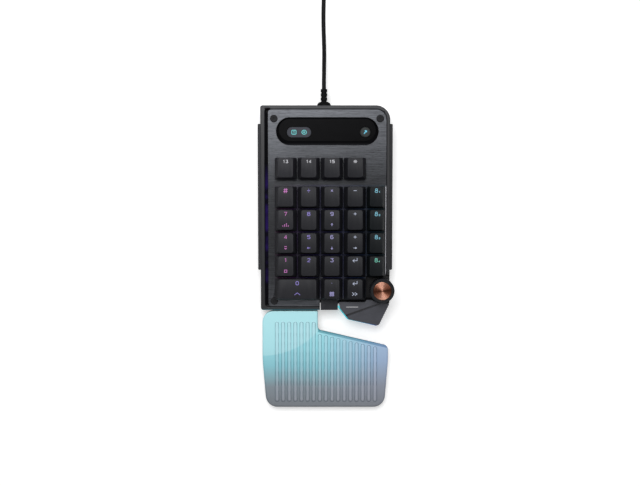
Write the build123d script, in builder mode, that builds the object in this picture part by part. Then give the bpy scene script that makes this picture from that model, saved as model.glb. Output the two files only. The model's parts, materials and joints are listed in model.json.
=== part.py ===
from build123d import *
import math
import os

os.makedirs("parts", exist_ok=True)

# Stance on the desk. Lengths are millimetres, angles degrees.
DECK_TILT = 3.5
DECK_FRONT_HEIGHT = 15.5
FOOT_HEIGHT = 1.5
LAYOUT_SHIFT = 0.9

# Gaps between fixed pieces, and between pieces that move past each other
SEAT_GAP = 0.1
RUN_GAP = 0.3

# Body, laid out on the sloping deck: X across, Y up the slope, Z square to the top face of the plate
KEYS_TO_PLATE_LEFT = 5.875
KEYS_TO_PLATE_RIGHT = 1.525
KEYS_TO_PLATE_FRONT = 6.225
KEYS_TO_PANEL = 10.4625
PANEL_MARGIN = 6.45
SHARP_CORNER = 2.0
ROUND_CORNER = 12.0
CASE_WALL = 2.2
CASE_FLOOR = 2.0
SPLIT_LEVEL = -6.6
RIM_HEIGHT = 0.8
RIM_BEVEL = 0.6
RIM_LEFT = 3.9
RIM_RIGHT = 3.1
RIM_REAR = 3.4
RIM_FRONT = 3.0
GROOVE_WIDTH = 2.5
LEDGE_WIDTH = 2.0
PLATE_THICKNESS = 1.5
PLATE_CORNER = 2.5
PLATE_ROUND_CORNER = 8.6
LIGHT_BAR_THICKNESS = 0.8
RAIL_WIDTH = 2.4
RAIL_LENGTH = 122.1
RAIL_INSET_REAR = 15.05
RAIL_HEIGHT = 7.0
RAIL_TOP = -2.6
RAIL_SLOT = 2.2
RAIL_SLOT_DEPTH = 1.0
BOARD_THICKNESS = 1.6
BOARD_LEVEL = -5.0

# Key grid
KEY_PITCH = 19.05
COLUMN_FIRST = -32.65
ROW_FRONT = -27.2
TOP_ROW_STEP = 1.25
KEY_GAP = 0.9
MACRO_FOOT = 14.9
KEY_TRAVEL = 4.0
CAP_SKIRT = 5.8
CAP_TOP = 13.6
CAP_CEILING = 11.8
CAP_WALL = 1.3
MACRO_WALL = 0.9
CAP_SIDE_RUN = 2.95
MACRO_SIDE_RUN = 2.15
CAP_FRONT_RUN = 1.925
CAP_REAR_RUN = 0.325
CAP_CORNER = 1.0
CAP_TOP_CORNER = 1.8
DISH_DEPTH = 0.55

# Key switch
SWITCH_CUTOUT = 14.0
FLANGE_LIP = 0.3
FLANGE_HEIGHT = 0.8
HOUSING_FOOT = 12.4
HOUSING_HEAD = 9.0
HOUSING_TOP = 6.4
SHOULDER_LEVEL = 4.8
SWITCH_FLOOR = -4.0
STEM_WIDTH = 7.0
STEM_DEPTH = 5.4
STEM_SHOULDER = 0.45
STEM_FOOT = 2.2
STEM_SHOULDER_TOP = 4.6
STEM_HEAD = 7.0
CROSS_HEIGHT = 3.6
CROSS_SPAN = 4.0
CROSS_THICK = 1.3
CROSS_THIN = 1.1
SOCKET_DIAMETER = 5.2
FIT_GAP = 0.05
POLE_DIAMETER = 2.4
POLE_LENGTH = 3.2
POLE_GAP = 0.2
POST_DIAMETER = 4.0
POST_LENGTH = 3.3
POST_FLOOR = 0.8
SPRING_DIAMETER = 4.4
SPRING_BORE = 3.0

# Stabiliser of the double-width key
STABILISER_SPACING = 23.8
STABILISER_WIDTH = 6.6
STABILISER_FRONT = 5.5
STABILISER_REAR = 4.5
STABILISER_TOP = 3.0
STABILISER_STEM_WIDTH = 4.0
STABILISER_STEM_DEPTH = 5.6
STABILISER_STEM_FOOT = -0.6
WIRE_DIAMETER = 1.4
WIRE_BEND = 1.3
WIRE_LEVEL = 0.8
WIRE_ARM = 8.4
WIRE_ARM_END = 1.4
CLIP_LENGTH = 3.0
CLIP_TOP = 1.5
CLIP_FOOT = -2.2

# Status panel in the plate
PANEL_LENGTH = 85.3
PANEL_WIDTH = 23.1
PANEL_X = 1.7
PANEL_DEPTH = 1.5
PANEL_FLOOR = 1.1
PANEL_FLANGE = 1.4
PANEL_RIM = 0.5
PANEL_SLOPE_REAR = 1.0
PANEL_SLOPE_FRONT = 3.7
PANEL_SLOPE_END = 2.4
WINDOW_LENGTH = 20.0
WINDOW_WIDTH = 8.4
WINDOW_INSET = 19.15
PANEL_ITEM_DROP = 0.7
WINDOW_PROUD = 0.2
BUTTON_INSET = 11.05
BUTTON_DIAMETER = 8.3
BUTTON_PROUD = 0.9
BUTTON_BEVEL = 0.3
BUTTON_FLANGE = 0.8
BUTTON_FLANGE_THICKNESS = 0.5
BUTTON_STEM = 3.0
BUTTON_STEM_END = -3.4
TACT_SIZE = 6.0
TACT_LOW_HEIGHT = 0.6
TACT_PLUNGER = 2.4
TACT_PLUNGER_HEIGHT = 0.3

# Screws
SCREW_INSET_LEFT = 4.9
SCREW_INSET_RIGHT = 5.3
SCREW_INSET_REAR = 7.5
SCREW_INSET_FRONT = 4.7
SCREW_HEAD = 6.2
SCREW_HEAD_HEIGHT = 1.3
SCREW_HEAD_BEVEL = 0.4
SCREW_SHANK = 3.0
SCREW_LENGTH = 9.0
SCREW_SOCKET = 2.5
SCREW_SOCKET_DEPTH = 0.8
BOSS_DIAMETER = 5.0
BOARD_POST_DIAMETER = 5.0

# Rubber feet of the case
CASE_FOOT_DIAMETER = 10.0
CASE_FOOT_RECESS = 0.5
CASE_FOOT_INSET_SIDE = 11.0
CASE_FOOT_INSET_REAR = 13.3
CASE_FOOT_INSET_FRONT = 13.5

# Corner base: lip, knob well and wing under the thumb paddle
STEP_CLEARANCE_SIDE = 0.425
STEP_CLEARANCE_FRONT = 0.325
STEP_UNDER_KEY = 0.625
SLIT_WIDTH = 0.8
SLIT_LENGTH = 5.4
LIP_TO_PADDLE = 0.6
LIP_LEVEL = 0.3
WELL_LEVEL = -0.6
WELL_FRONT_DROP = 2.7
BASE_WALL = 1.6
WELL_CEILING = -2.4
WING_LEVEL = -4.2
WING_CEILING = -5.2

# Thumb paddle, laid out from the front of the knob: X from its middle, Y from its front edge
PADDLE_POINTS = [
    (-35.7, -0.5), (-34.5, -5.8), (-27.3, -15.1), (-3.1, -20.6), (-1.5, -19.7), (5.8, -4.2), (6.8, -1.8),
    (-2.4, -1.6), (-8.3, 1.2), (-12.3, 1.2), (-13.7, -0.5),
]
PADDLE_RADII = [0.8, 1.5, 1.5, 0.8, 0.8, 1.5, 0.6, 2.0, 1.2, 0.8, 0.8]
CREASE_LEFT = (-28.9, -11.7)
CREASE_RIGHT = (-2.9, -2.4)
CREASE_OVERRUN = 1.5
CREASE_WIDTH = 1.2
CREASE_DEPTH = 0.8
FACET_FALL = 9.0
PADDLE_TOP = 4.0
PADDLE_SKIRT = -5.5
PADDLE_CEILING = -0.6
PADDLE_WALL = 1.4
PADDLE_GAP = 0.7
PADDLE_REAR_SKIRT = -3.6
HINGE_DROP = 5.075
HINGE_LEVEL = -1.9
HINGE_PIN = 2.4
HINGE_START = -34.0
HINGE_END = 3.1
EAR_PLACES = [-28.9, -1.4]
EAR_THICKNESS = 2.6
EAR_LENGTH = 4.0
THUMB_TACT_PLACE = (-14.9, -10.2)
THUMB_TACT_TOP = -3.5
THUMB_TACT_HEIGHT = 3.6
THUMB_RIB = 4.0
THUMB_RIB_END = -2.6
STRIP_LEVEL = -9.0
STRIP_HEIGHT = 1.6
STRIP_PROUD = 1.7
STRIP_REAR_DROP = 5.2

# Knob and encoder
KNOB_INSET_RIGHT = 7.1
KNOB_TO_KEY = 0.4
KNOB_DIAMETER = 20.2
KNOB_FOOT = 3.2
KNOB_TOP = 16.2
KNOB_WALL = 1.6
KNOB_HUB_LEVEL = 6.4
KNOB_BEVEL = 0.8
KNOB_FLUTES = 32
KNOB_FLUTE_DIAMETER = 1.1
KNOB_FLUTE_INSET = 0.25
KNOB_FLUTE_MARGIN = 1.6
DISC_DIAMETER = 15.0
DISC_THICKNESS = 0.9
DISC_PROUD = 0.3
ENCODER_SIZE = 11.0
ENCODER_TOP = 1.4
BUSHING_DIAMETER = 9.0
BUSHING_TOP = 5.4
SHAFT_DIAMETER = 6.0
SHAFT_BORE_GAP = 0.2
SHAFT_COLLAR = 8.4
SHAFT_COLLAR_LEVEL = -1.8
SHAFT_COLLAR_HEIGHT = 0.8
SHAFT_TOP = 13.0
PLUNGER_DIAMETER = 9.4
PLUNGER_TOP = -2.0
PLUNGER_HEIGHT = 1.0
ENCODER_CAVITY = 10.0
ENCODER_CAVITY_FLOOR = -4.2
ENCODER_CAVITY_TOP = 0.4
CUP_DIAMETER = 16.4
CUP_LEVEL = 2.4

# Palm rest, laid out on the desk
PALM_INSET_LEFT = 1.0
PALM_INSET_RIGHT = 0.7
PALM_LENGTH = 82.3
PALM_GAP = 0.5
PALM_TONGUE_INSET = 1.7
PALM_SLOPE_DROP_LEFT = 16.3
PALM_SLOPE_DROP_RIGHT = 30.0
PALM_WAIST_DROP = 42.0
PALM_TAPER = 3.3
PALM_CORNER = 10.0
PALM_WAIST_RADIUS = 120.0
PALM_SLOPE_RADIUS = 4.5
PALM_TONGUE_RADIUS = 1.0
PALM_NOTCH_RADIUS = 3.5
PALM_FOOT_HEIGHT = 1.2
PALM_BASE_TOP = 6.6
PALM_REAR_HEIGHT = 13.0
PALM_FRONT_HEIGHT = 9.0
PALM_BASE_INSET = 0.8
PALM_EDGE = 1.2
RIB_COUNT = 17
RIB_INSET_LEFT = 12.3
RIB_INSET_RIGHT = 11.2
RIB_WIDTH = 2.4
RIB_HEIGHT = 0.7
RIB_REAR_COUNT = 7
RIB_REAR_MARGIN = 10.0
RIB_SLOPE_MARGIN = 3.6
RIB_FRONT_MARGIN = 5.0
TAB_INSETS = [7.8, 23.8]
TAB_WIDTH = 10.0
TAB_LENGTH = 8.0
TAB_ROOT = 10.0
TAB_LEVEL = 3.9
TAB_THICKNESS = 2.4
PALM_FOOT_DIAMETER = 8.0
PALM_FOOT_RECESS = 0.4
PALM_FOOT_INSET_SIDE = 12.0
PALM_FOOT_INSET_REAR = 10.0
PALM_FOOT_INSET_FRONT = 12.0

# Lead
CABLE_DIAMETER = 3.5
CABLE_X = -1.0
CABLE_LEVEL = -15.0
RELIEF_FLANGE = 11.0
RELIEF_FLANGE_THICKNESS = 1.6
RELIEF_THROAT = 7.0
RELIEF_BASE = 12.0
RELIEF_BASE_LENGTH = 4.3
RELIEF_BASE_EDGE = 0.6
RELIEF_NECK = 4.6
RELIEF_RIB = 5.6
RELIEF_RIB_LENGTH = 2.4
RELIEF_RIB_GAP = 1.1
RELIEF_RIBS = 3
CABLE_REST = 1.9
ROUTE_POINTS = [(-0.6, 176.0, 2.3), (-1.6, 202.0, 1.9), (-1.0, 226.0, 1.9)]
ROUTE_LEAVE = 14.0
ROUTE_ARC_SHARE = 0.45
COIL_START_Y = 254.0
COIL_TURNS = 10.25
COIL_PITCH = 4.0
COIL_INNER = 10.6
COIL_LAYER = 4.0
TAIL_LENGTH = 30.0
PLUG_LENGTH = 22.0
PLUG_WIDTH = 15.0
PLUG_THICKNESS = 8.6
PLUG_EDGE = 1.6
PLUG_SHELL_LENGTH = 18.7
PLUG_SHELL_WIDTH = 12.0
PLUG_SHELL_THICKNESS = 4.5
PLUG_SHELL_WALL = 0.35
PLUG_TONGUE = 1.9

# Places of the keys
columns = [COLUMN_FIRST + KEY_PITCH * step for step in range(4)]
rows = [ROW_FRONT + KEY_PITCH * step for step in range(5)]
top_row = rows[4] + KEY_PITCH * TOP_ROW_STEP
key_foot = KEY_PITCH - KEY_GAP
macro_column = columns[3] + key_foot / 2 + KEY_GAP + MACRO_FOOT / 2
zero_x = (columns[0] + columns[1]) / 2
zero_foot = key_foot + KEY_PITCH
keys_left = columns[0] - key_foot / 2
keys_right = macro_column + MACRO_FOOT / 2
keys_front = rows[0] - key_foot / 2
keys_rear = top_row + key_foot / 2

# The plate holds the keys and the panel, and the body goes round the plate
panel_y = keys_rear + KEYS_TO_PANEL + PANEL_WIDTH / 2
panel_left = PANEL_X - PANEL_LENGTH / 2
panel_right = PANEL_X + PANEL_LENGTH / 2
panel_item_y = panel_y - PANEL_ITEM_DROP
window_x = panel_left + WINDOW_INSET
button_x = panel_right - BUTTON_INSET
plate_left = min(keys_left - KEYS_TO_PLATE_LEFT, panel_left - PANEL_MARGIN)
plate_right = max(keys_right + KEYS_TO_PLATE_RIGHT, panel_right + PANEL_MARGIN)
plate_rear = panel_y + PANEL_WIDTH / 2 + PANEL_MARGIN
plate_front = keys_front - KEYS_TO_PLATE_FRONT
body_left = plate_left - GROOVE_WIDTH - RIM_LEFT
body_right = plate_right + RIM_RIGHT
body_rear = plate_rear + RIM_REAR
body_front = plate_front - RIM_FRONT
beyond = body_right - body_left

# Planes of the deck and the desk
tilt = math.radians(DECK_TILT)
deck_height = DECK_FRONT_HEIGHT - body_front * math.sin(tilt)
down_to_desk = deck_height + body_rear * math.sin(tilt)
DECK = Plane(
    origin=(0, LAYOUT_SHIFT, deck_height),
    x_dir=(1, 0, 0),
    z_dir=(0, -math.sin(tilt), math.cos(tilt)),
)
DESK = Plane(origin=(0, LAYOUT_SHIFT, 0), x_dir=(1, 0, 0), z_dir=(0, 0, 1))
ledge_level = -PLATE_THICKNESS
floor_level = FOOT_HEIGHT + CASE_FLOOR

# Knob, the corner round it and the paddle in front of it
knob_x = body_right - KNOB_INSET_RIGHT
knob_front = rows[1] - key_foot / 2 - KNOB_TO_KEY - KNOB_DIAMETER
knob_y = knob_front + KNOB_DIAMETER / 2
step_x = columns[3] + key_foot / 2 + STEP_CLEARANCE_SIDE
step_front = keys_front - STEP_CLEARANCE_FRONT
step_rear = rows[1] - key_foot / 2 + STEP_UNDER_KEY
slit_x = columns[1] + key_foot / 2
lip_left = slit_x + SLIT_WIDTH
lip_right = knob_x + PADDLE_POINTS[0][0] - LIP_TO_PADDLE
well_front = knob_front - WELL_FRONT_DROP
hinge_y = knob_front - HINGE_DROP
strip_rear = knob_front - STRIP_REAR_DROP
strip_end = knob_x + PADDLE_POINTS[3][0]
ear_places = [knob_x + place for place in EAR_PLACES]
thumb_tact = (knob_x + THUMB_TACT_PLACE[0], knob_front + THUMB_TACT_PLACE[1])

# Screws, posts, feet and board
screw_places = [
    (plate_left + SCREW_INSET_LEFT, plate_rear - SCREW_INSET_REAR),
    (plate_right - SCREW_INSET_RIGHT, plate_rear - SCREW_INSET_REAR),
    (plate_left + SCREW_INSET_LEFT, plate_front + SCREW_INSET_FRONT),
]
board_posts = [
    (x, y)
    for x in (zero_x, (columns[3] + macro_column) / 2)
    for y in ((rows[4] + top_row) / 2, (rows[1] + rows[2]) / 2)
]
case_feet_places = [
    (x, y)
    for x in (body_left + CASE_FOOT_INSET_SIDE, body_right - CASE_FOOT_INSET_SIDE)
    for y in (body_rear - CASE_FOOT_INSET_REAR, body_front + CASE_FOOT_INSET_FRONT)
]
board_margin = LEDGE_WIDTH + RUN_GAP
board_left = plate_left + board_margin
board_right = plate_right - board_margin

number_names = [
    ["1", "2", "3", "enter_upper"],
    ["4", "5", "6", "plus_lower"],
    ["7", "8", "9", "plus_upper"],
    ["lock", "divide", "multiply", "minus"],
]
keys = [(f"key_function_{step + 1}", columns[step], top_row, key_foot) for step in range(4)]
for row, names in enumerate(number_names, start=1):
    keys += [(f"key_{name}", columns[step], rows[row], key_foot) for step, name in enumerate(names)]
    keys.append((f"key_macro_{5 - row}", macro_column, rows[row], MACRO_FOOT))
keys += [
    ("key_0", zero_x, rows[0], zero_foot),
    ("key_point", columns[2], rows[0], key_foot),
    ("key_enter_lower", columns[3], rows[0], key_foot),
]
switch_places = [(x, y) for _, x, y, _ in keys]
stabiliser_places = [(zero_x + side * STABILISER_SPACING / 2, rows[0]) for side in (-1, 1)]


def level(height):
    """The deck plane at a height above the plate's top face."""
    return DECK.offset(height)


def deck_point(x, y, height):
    """A place on the deck, in the frame of the whole object."""
    return DECK.from_local_coords(Vector(x, y, height))


def outline(points, radii):
    """A closed outline with its own radius at each corner."""
    with BuildSketch() as shape:
        with BuildLine():
            FilletPolyline(*points, radius=radii, close=True)
        make_face()
    return shape.sketch


def span(left, right, front, rear, mode=Mode.ADD):
    """A rectangle given by its four sides, in the sketch being drawn."""
    with Locations(((left + right) / 2, (front + rear) / 2)):
        Rectangle(right - left, rear - front, mode=mode)


def export(part, name):
    """Label a finished piece and write it under its own name."""
    part.label = name
    export_step(part, f"parts/{name}.step")


# Outlines shared by several pieces
body_outline = outline(
    [
        (body_left, body_front), (body_right, body_front),
        (body_right, body_rear), (body_left, body_rear),
    ],
    [SHARP_CORNER, SHARP_CORNER, ROUND_CORNER, SHARP_CORNER],
)
plate_outline = outline(
    [
        (plate_left, plate_front),
        (slit_x - SEAT_GAP, plate_front),
        (slit_x - SEAT_GAP, step_front),
        (step_x, step_front),
        (step_x, step_rear),
        (plate_right, step_rear),
        (plate_right, plate_rear),
        (plate_left, plate_rear),
    ],
    [PLATE_CORNER, 0, 0, 0, 0, 0, PLATE_ROUND_CORNER, PLATE_CORNER],
)
paddle_outline = outline([(knob_x + x, knob_front + y) for x, y in PADDLE_POINTS], PADDLE_RADII)
paddle_inner = offset(paddle_outline, amount=-PADDLE_WALL, kind=Kind.INTERSECTION, mode=Mode.PRIVATE)
paddle_room = offset(paddle_outline, amount=PADDLE_GAP, kind=Kind.INTERSECTION, mode=Mode.PRIVATE)
wing_outline = offset(
    paddle_outline, amount=-PADDLE_WALL - PADDLE_GAP, kind=Kind.INTERSECTION, mode=Mode.PRIVATE
)
with BuildSketch() as case_shape:
    add(body_outline)
    span(lip_right, body_right + beyond, body_front - beyond, well_front, mode=Mode.SUBTRACT)
    add(wing_outline)
case_outline = case_shape.sketch
case_inner = offset(case_outline, amount=-CASE_WALL, kind=Kind.INTERSECTION, mode=Mode.PRIVATE)
with BuildSketch() as base_shape:
    span(step_x + SEAT_GAP, body_right, well_front, step_rear - SEAT_GAP)
    span(lip_left, body_right, well_front, step_front - SEAT_GAP)
    span(lip_left, lip_right, body_front, well_front)
    add(wing_outline)
base_outline = base_shape.sketch
base_inner = offset(base_outline, amount=-BASE_WALL, kind=Kind.INTERSECTION, mode=Mode.PRIVATE)

# Brushed top plate with its switch cut-outs
with BuildPart() as top_plate:
    with BuildSketch(level(0)):
        add(plate_outline)
        with Locations(*switch_places):
            Rectangle(SWITCH_CUTOUT, SWITCH_CUTOUT, mode=Mode.SUBTRACT)
        with Locations((PANEL_X, panel_y)):
            SlotOverall(PANEL_LENGTH, PANEL_WIDTH, mode=Mode.SUBTRACT)
        with Locations(*screw_places):
            Circle(SCREW_SHANK / 2 + RUN_GAP, mode=Mode.SUBTRACT)
        for x, y in stabiliser_places:
            reach = STABILISER_WIDTH / 2 + SEAT_GAP
            front = y - WIRE_ARM - CLIP_LENGTH / 2 - SEAT_GAP
            span(x - reach, x + reach, front, y + STABILISER_REAR + SEAT_GAP, mode=Mode.SUBTRACT)
    extrude(amount=-PLATE_THICKNESS)
export(top_plate.part, "top_plate")

# Upper frame: a ring with a ledge under the plate and a groove beside it
with BuildPart() as upper_frame:
    with BuildSketch(level(SPLIT_LEVEL)):
        add(body_outline)
        span(
            plate_left + LEDGE_WIDTH, plate_right - LEDGE_WIDTH,
            plate_front + LEDGE_WIDTH, plate_rear - LEDGE_WIDTH, mode=Mode.SUBTRACT,
        )
        span(
            slit_x, body_right + beyond,
            body_front - beyond, step_rear, mode=Mode.SUBTRACT,
        )
    extrude(amount=RIM_HEIGHT - SPLIT_LEVEL)
    with BuildSketch(level(ledge_level)):
        add(
            outline(
                [
                    (plate_left - GROOVE_WIDTH, plate_front - SEAT_GAP),
                    (plate_right + SEAT_GAP, plate_front - SEAT_GAP),
                    (plate_right + SEAT_GAP, plate_rear + SEAT_GAP),
                    (plate_left - GROOVE_WIDTH, plate_rear + SEAT_GAP),
                ],
                [PLATE_CORNER, PLATE_CORNER, PLATE_ROUND_CORNER, PLATE_CORNER],
            )
        )
    extrude(amount=RIM_HEIGHT - ledge_level, mode=Mode.SUBTRACT)
    rim = upper_frame.faces().sort_by(Axis(DECK.origin, DECK.z_dir))[-1]
    chamfer(rim.edges(), length=RIM_BEVEL)
export(upper_frame.part, "upper_frame")

# Light bar in the groove left of the plate
with BuildPart() as light_bar:
    with BuildSketch(level(ledge_level)):
        span(
            plate_left - GROOVE_WIDTH + SEAT_GAP, plate_left - SEAT_GAP,
            plate_front + PLATE_CORNER, plate_rear - PLATE_CORNER,
        )
    extrude(amount=LIGHT_BAR_THICKNESS)
export(light_bar.part, "light_bar")

# Side rails, each with a slot along its outer face
rail_centre = body_rear - RAIL_INSET_REAR - RAIL_LENGTH / 2
for name, side, flank in (("left_rail", -1, body_left), ("right_rail", 1, body_right)):
    with BuildPart() as rail:
        with BuildSketch(level(RAIL_TOP)):
            with Locations((flank + side * RAIL_WIDTH / 2, rail_centre)):
                Rectangle(RAIL_WIDTH, RAIL_LENGTH)
        extrude(amount=-RAIL_HEIGHT)
        outer = rail.faces().sort_by(Axis.X)[-1 if side > 0 else 0]
        chamfer(outer.edges(), length=RIM_BEVEL)
        with BuildSketch(level(RAIL_TOP - RAIL_HEIGHT / 2 - RAIL_SLOT / 2)):
            with Locations((flank + side * RAIL_WIDTH, rail_centre)):
                Rectangle(RAIL_SLOT_DEPTH * 2, RAIL_LENGTH)
        extrude(amount=RAIL_SLOT, mode=Mode.SUBTRACT)
    export(rail.part, name)

# Places of the tabs that hold the palm rest, under its tongue
palm_tongue = slit_x - PALM_TONGUE_INSET
tab_places = [palm_tongue - inset for inset in TAB_INSETS]

# Room inside the bottom case, cut level above its floor
with BuildPart() as case_room:
    with BuildSketch(level(SPLIT_LEVEL)):
        add(case_inner)
    extrude(amount=-down_to_desk)
    split(bisect_by=DESK.offset(floor_level), keep=Keep.TOP)

# Bottom case: level floor, walls square to the deck, bosses for the screws and the board
with BuildPart() as bottom_case:
    with BuildSketch(level(SPLIT_LEVEL)):
        add(case_outline)
    extrude(amount=-down_to_desk)
    add(case_room.part, mode=Mode.SUBTRACT)
    with BuildSketch(level(ledge_level)):
        with Locations(*screw_places):
            Circle(BOSS_DIAMETER / 2)
    extrude(amount=-down_to_desk)
    with BuildSketch(level(SPLIT_LEVEL)):
        with Locations(*board_posts):
            Circle(BOARD_POST_DIAMETER / 2)
        with Locations(thumb_tact):
            Rectangle(TACT_SIZE + CASE_WALL, TACT_SIZE + CASE_WALL)
    extrude(amount=-down_to_desk)
    split(bisect_by=DESK.offset(FOOT_HEIGHT), keep=Keep.TOP)
    with BuildSketch(level(ledge_level)):
        with Locations(*screw_places):
            Circle(SCREW_SHANK / 2 + SEAT_GAP)
    extrude(amount=-SCREW_LENGTH - SEAT_GAP, mode=Mode.SUBTRACT)
    with BuildSketch(level(SPLIT_LEVEL)):
        with Locations(thumb_tact):
            Rectangle(TACT_SIZE + 2 * SEAT_GAP, TACT_SIZE + 2 * SEAT_GAP)
    extrude(amount=THUMB_TACT_TOP - TACT_PLUNGER_HEIGHT - THUMB_TACT_HEIGHT - SPLIT_LEVEL, mode=Mode.SUBTRACT)
    with BuildSketch(DESK.offset(FOOT_HEIGHT)):
        with Locations(*case_feet_places):
            Circle(CASE_FOOT_DIAMETER / 2 + SEAT_GAP)
    extrude(amount=CASE_FOOT_RECESS, mode=Mode.SUBTRACT)
    with BuildSketch(DESK.offset(TAB_LEVEL - RUN_GAP)):
        for place in tab_places:
            reach = TAB_WIDTH / 2 + RUN_GAP
            span(place - reach, place + reach, body_front - CASE_WALL, body_front + 2 * CASE_WALL)
    extrude(amount=TAB_THICKNESS + 2 * RUN_GAP, mode=Mode.SUBTRACT)
    with BuildSketch(Plane(origin=deck_point(CABLE_X, body_rear, CABLE_LEVEL), z_dir=DECK.y_dir)):
        Circle(RELIEF_THROAT / 2 + SEAT_GAP)
    extrude(amount=-2 * CASE_WALL, mode=Mode.SUBTRACT)
    with BuildSketch(DESK):
        span(slit_x, lip_left, body_front - SLIT_LENGTH, body_front + SLIT_LENGTH)
    extrude(amount=down_to_desk, mode=Mode.SUBTRACT)
export(bottom_case.part, "bottom_case")

# Circuit board between the switches and the case
boss_room = BOSS_DIAMETER / 2 + RUN_GAP
with BuildPart() as circuit_board:
    with BuildSketch(level(BOARD_LEVEL)):
        span(board_left, board_right, step_front, plate_rear - board_margin)
        span(board_left, slit_x, plate_front + board_margin, step_front)
        with Locations(*switch_places):
            Circle(POST_DIAMETER / 2 + SEAT_GAP, mode=Mode.SUBTRACT)
        for screw_x, screw_y in screw_places:
            inner_x = screw_x - math.copysign(boss_room, screw_x)
            inner_y = screw_y - math.copysign(boss_room, screw_y)
            outer_x = math.copysign(beyond, inner_x)
            outer_y = math.copysign(2 * beyond, inner_y)
            span(*sorted((inner_x, outer_x)), *sorted((inner_y, outer_y)), mode=Mode.SUBTRACT)
    extrude(amount=-BOARD_THICKNESS)
export(circuit_board.part, "circuit_board")

# Switch bases: they drop into the plate and stand on the board
with BuildPart() as switch_bases:
    with BuildSketch(level(BOARD_LEVEL)):
        with Locations(*switch_places):
            Rectangle(SWITCH_CUTOUT - 2 * SEAT_GAP, SWITCH_CUTOUT - 2 * SEAT_GAP)
    extrude(amount=-BOARD_LEVEL)
    with BuildSketch(level(0)):
        with Locations(*switch_places):
            Rectangle(SWITCH_CUTOUT + 2 * FLANGE_LIP, SWITCH_CUTOUT + 2 * FLANGE_LIP)
    extrude(amount=FLANGE_HEIGHT)
    with BuildSketch(level(BOARD_LEVEL)):
        with Locations(*switch_places):
            Circle(POST_DIAMETER / 2)
    extrude(amount=-POST_LENGTH)
    with BuildSketch(level(SWITCH_FLOOR)):
        with Locations(*switch_places):
            Rectangle(
                STEM_WIDTH + 2 * STEM_SHOULDER + 2 * RUN_GAP,
                STEM_DEPTH + 2 * STEM_SHOULDER + 2 * RUN_GAP,
            )
    extrude(amount=FLANGE_HEIGHT - SWITCH_FLOOR, mode=Mode.SUBTRACT)
    with BuildSketch(level(SWITCH_FLOOR)):
        with Locations(*switch_places):
            Circle(POLE_DIAMETER / 2 + POLE_GAP)
    extrude(amount=BOARD_LEVEL - POST_LENGTH + POST_FLOOR - SWITCH_FLOOR, mode=Mode.SUBTRACT)
export(switch_bases.part, "switch_bases")

# Switch tops: tapered housings with a shoulder that stops the stem
housing_height = HOUSING_TOP - FLANGE_HEIGHT
housing_taper = math.degrees(math.atan((HOUSING_FOOT - HOUSING_HEAD) / 2 / housing_height))
with BuildPart() as switch_tops:
    with BuildSketch(level(FLANGE_HEIGHT)):
        with Locations(*switch_places):
            Rectangle(HOUSING_FOOT, HOUSING_FOOT)
    extrude(amount=housing_height, taper=housing_taper)
    with BuildSketch(level(FLANGE_HEIGHT)):
        with Locations(*switch_places):
            Rectangle(
                STEM_WIDTH + 2 * STEM_SHOULDER + 2 * RUN_GAP,
                STEM_DEPTH + 2 * STEM_SHOULDER + 2 * RUN_GAP,
            )
    extrude(amount=SHOULDER_LEVEL - FLANGE_HEIGHT, mode=Mode.SUBTRACT)
    with BuildSketch(level(SHOULDER_LEVEL)):
        with Locations(*switch_places):
            Rectangle(STEM_WIDTH + 2 * RUN_GAP, STEM_DEPTH + 2 * RUN_GAP)
    extrude(amount=HOUSING_TOP - SHOULDER_LEVEL, mode=Mode.SUBTRACT)
export(switch_tops.part, "switch_tops")

# Switch springs, drawn as plain sleeves
with BuildPart() as switch_springs:
    with BuildSketch(level(SWITCH_FLOOR)):
        with Locations(*switch_places):
            Circle(SPRING_DIAMETER / 2)
            Circle(SPRING_BORE / 2, mode=Mode.SUBTRACT)
    extrude(amount=STEM_FOOT - SWITCH_FLOOR)
export(switch_springs.part, "switch_springs")

# Stabiliser housings with a clip for the wire and a shaft for the stem
with BuildPart() as stabiliser_housings:
    for x, y in stabiliser_places:
        side = STABILISER_WIDTH / 2
        with BuildSketch(level(BOARD_LEVEL)):
            span(x - side, x + side, y - STABILISER_FRONT, y + STABILISER_REAR)
        extrude(amount=STABILISER_TOP - BOARD_LEVEL)
        with BuildSketch(level(CLIP_FOOT)):
            front = y - WIRE_ARM - CLIP_LENGTH / 2
            span(x - side, x + side, front, y - STABILISER_FRONT)
        extrude(amount=CLIP_TOP - CLIP_FOOT)
        shaft_side = STABILISER_STEM_WIDTH / 2 + RUN_GAP
        shaft_depth = STABILISER_STEM_DEPTH / 2 + RUN_GAP
        with BuildSketch(level(BOARD_LEVEL)):
            span(x - shaft_side, x + shaft_side, y - shaft_depth, y + shaft_depth)
        extrude(amount=STABILISER_TOP - BOARD_LEVEL, mode=Mode.SUBTRACT)
        wire_room = WIRE_DIAMETER / 2 + RUN_GAP
        with BuildSketch(level(WIRE_LEVEL - wire_room)):
            span(x - side, x + side, y - WIRE_ARM - wire_room, y - WIRE_ARM + wire_room)
        extrude(amount=2 * STABILISER_TOP, mode=Mode.SUBTRACT)
        with BuildSketch(level(WIRE_LEVEL - KEY_TRAVEL / 2 - WIRE_DIAMETER / 2)):
            span(x - wire_room, x + wire_room, y - WIRE_ARM, y)
        extrude(amount=2 * STABILISER_TOP, mode=Mode.SUBTRACT)
export(stabiliser_housings.part, "stabiliser_housings")

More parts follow.
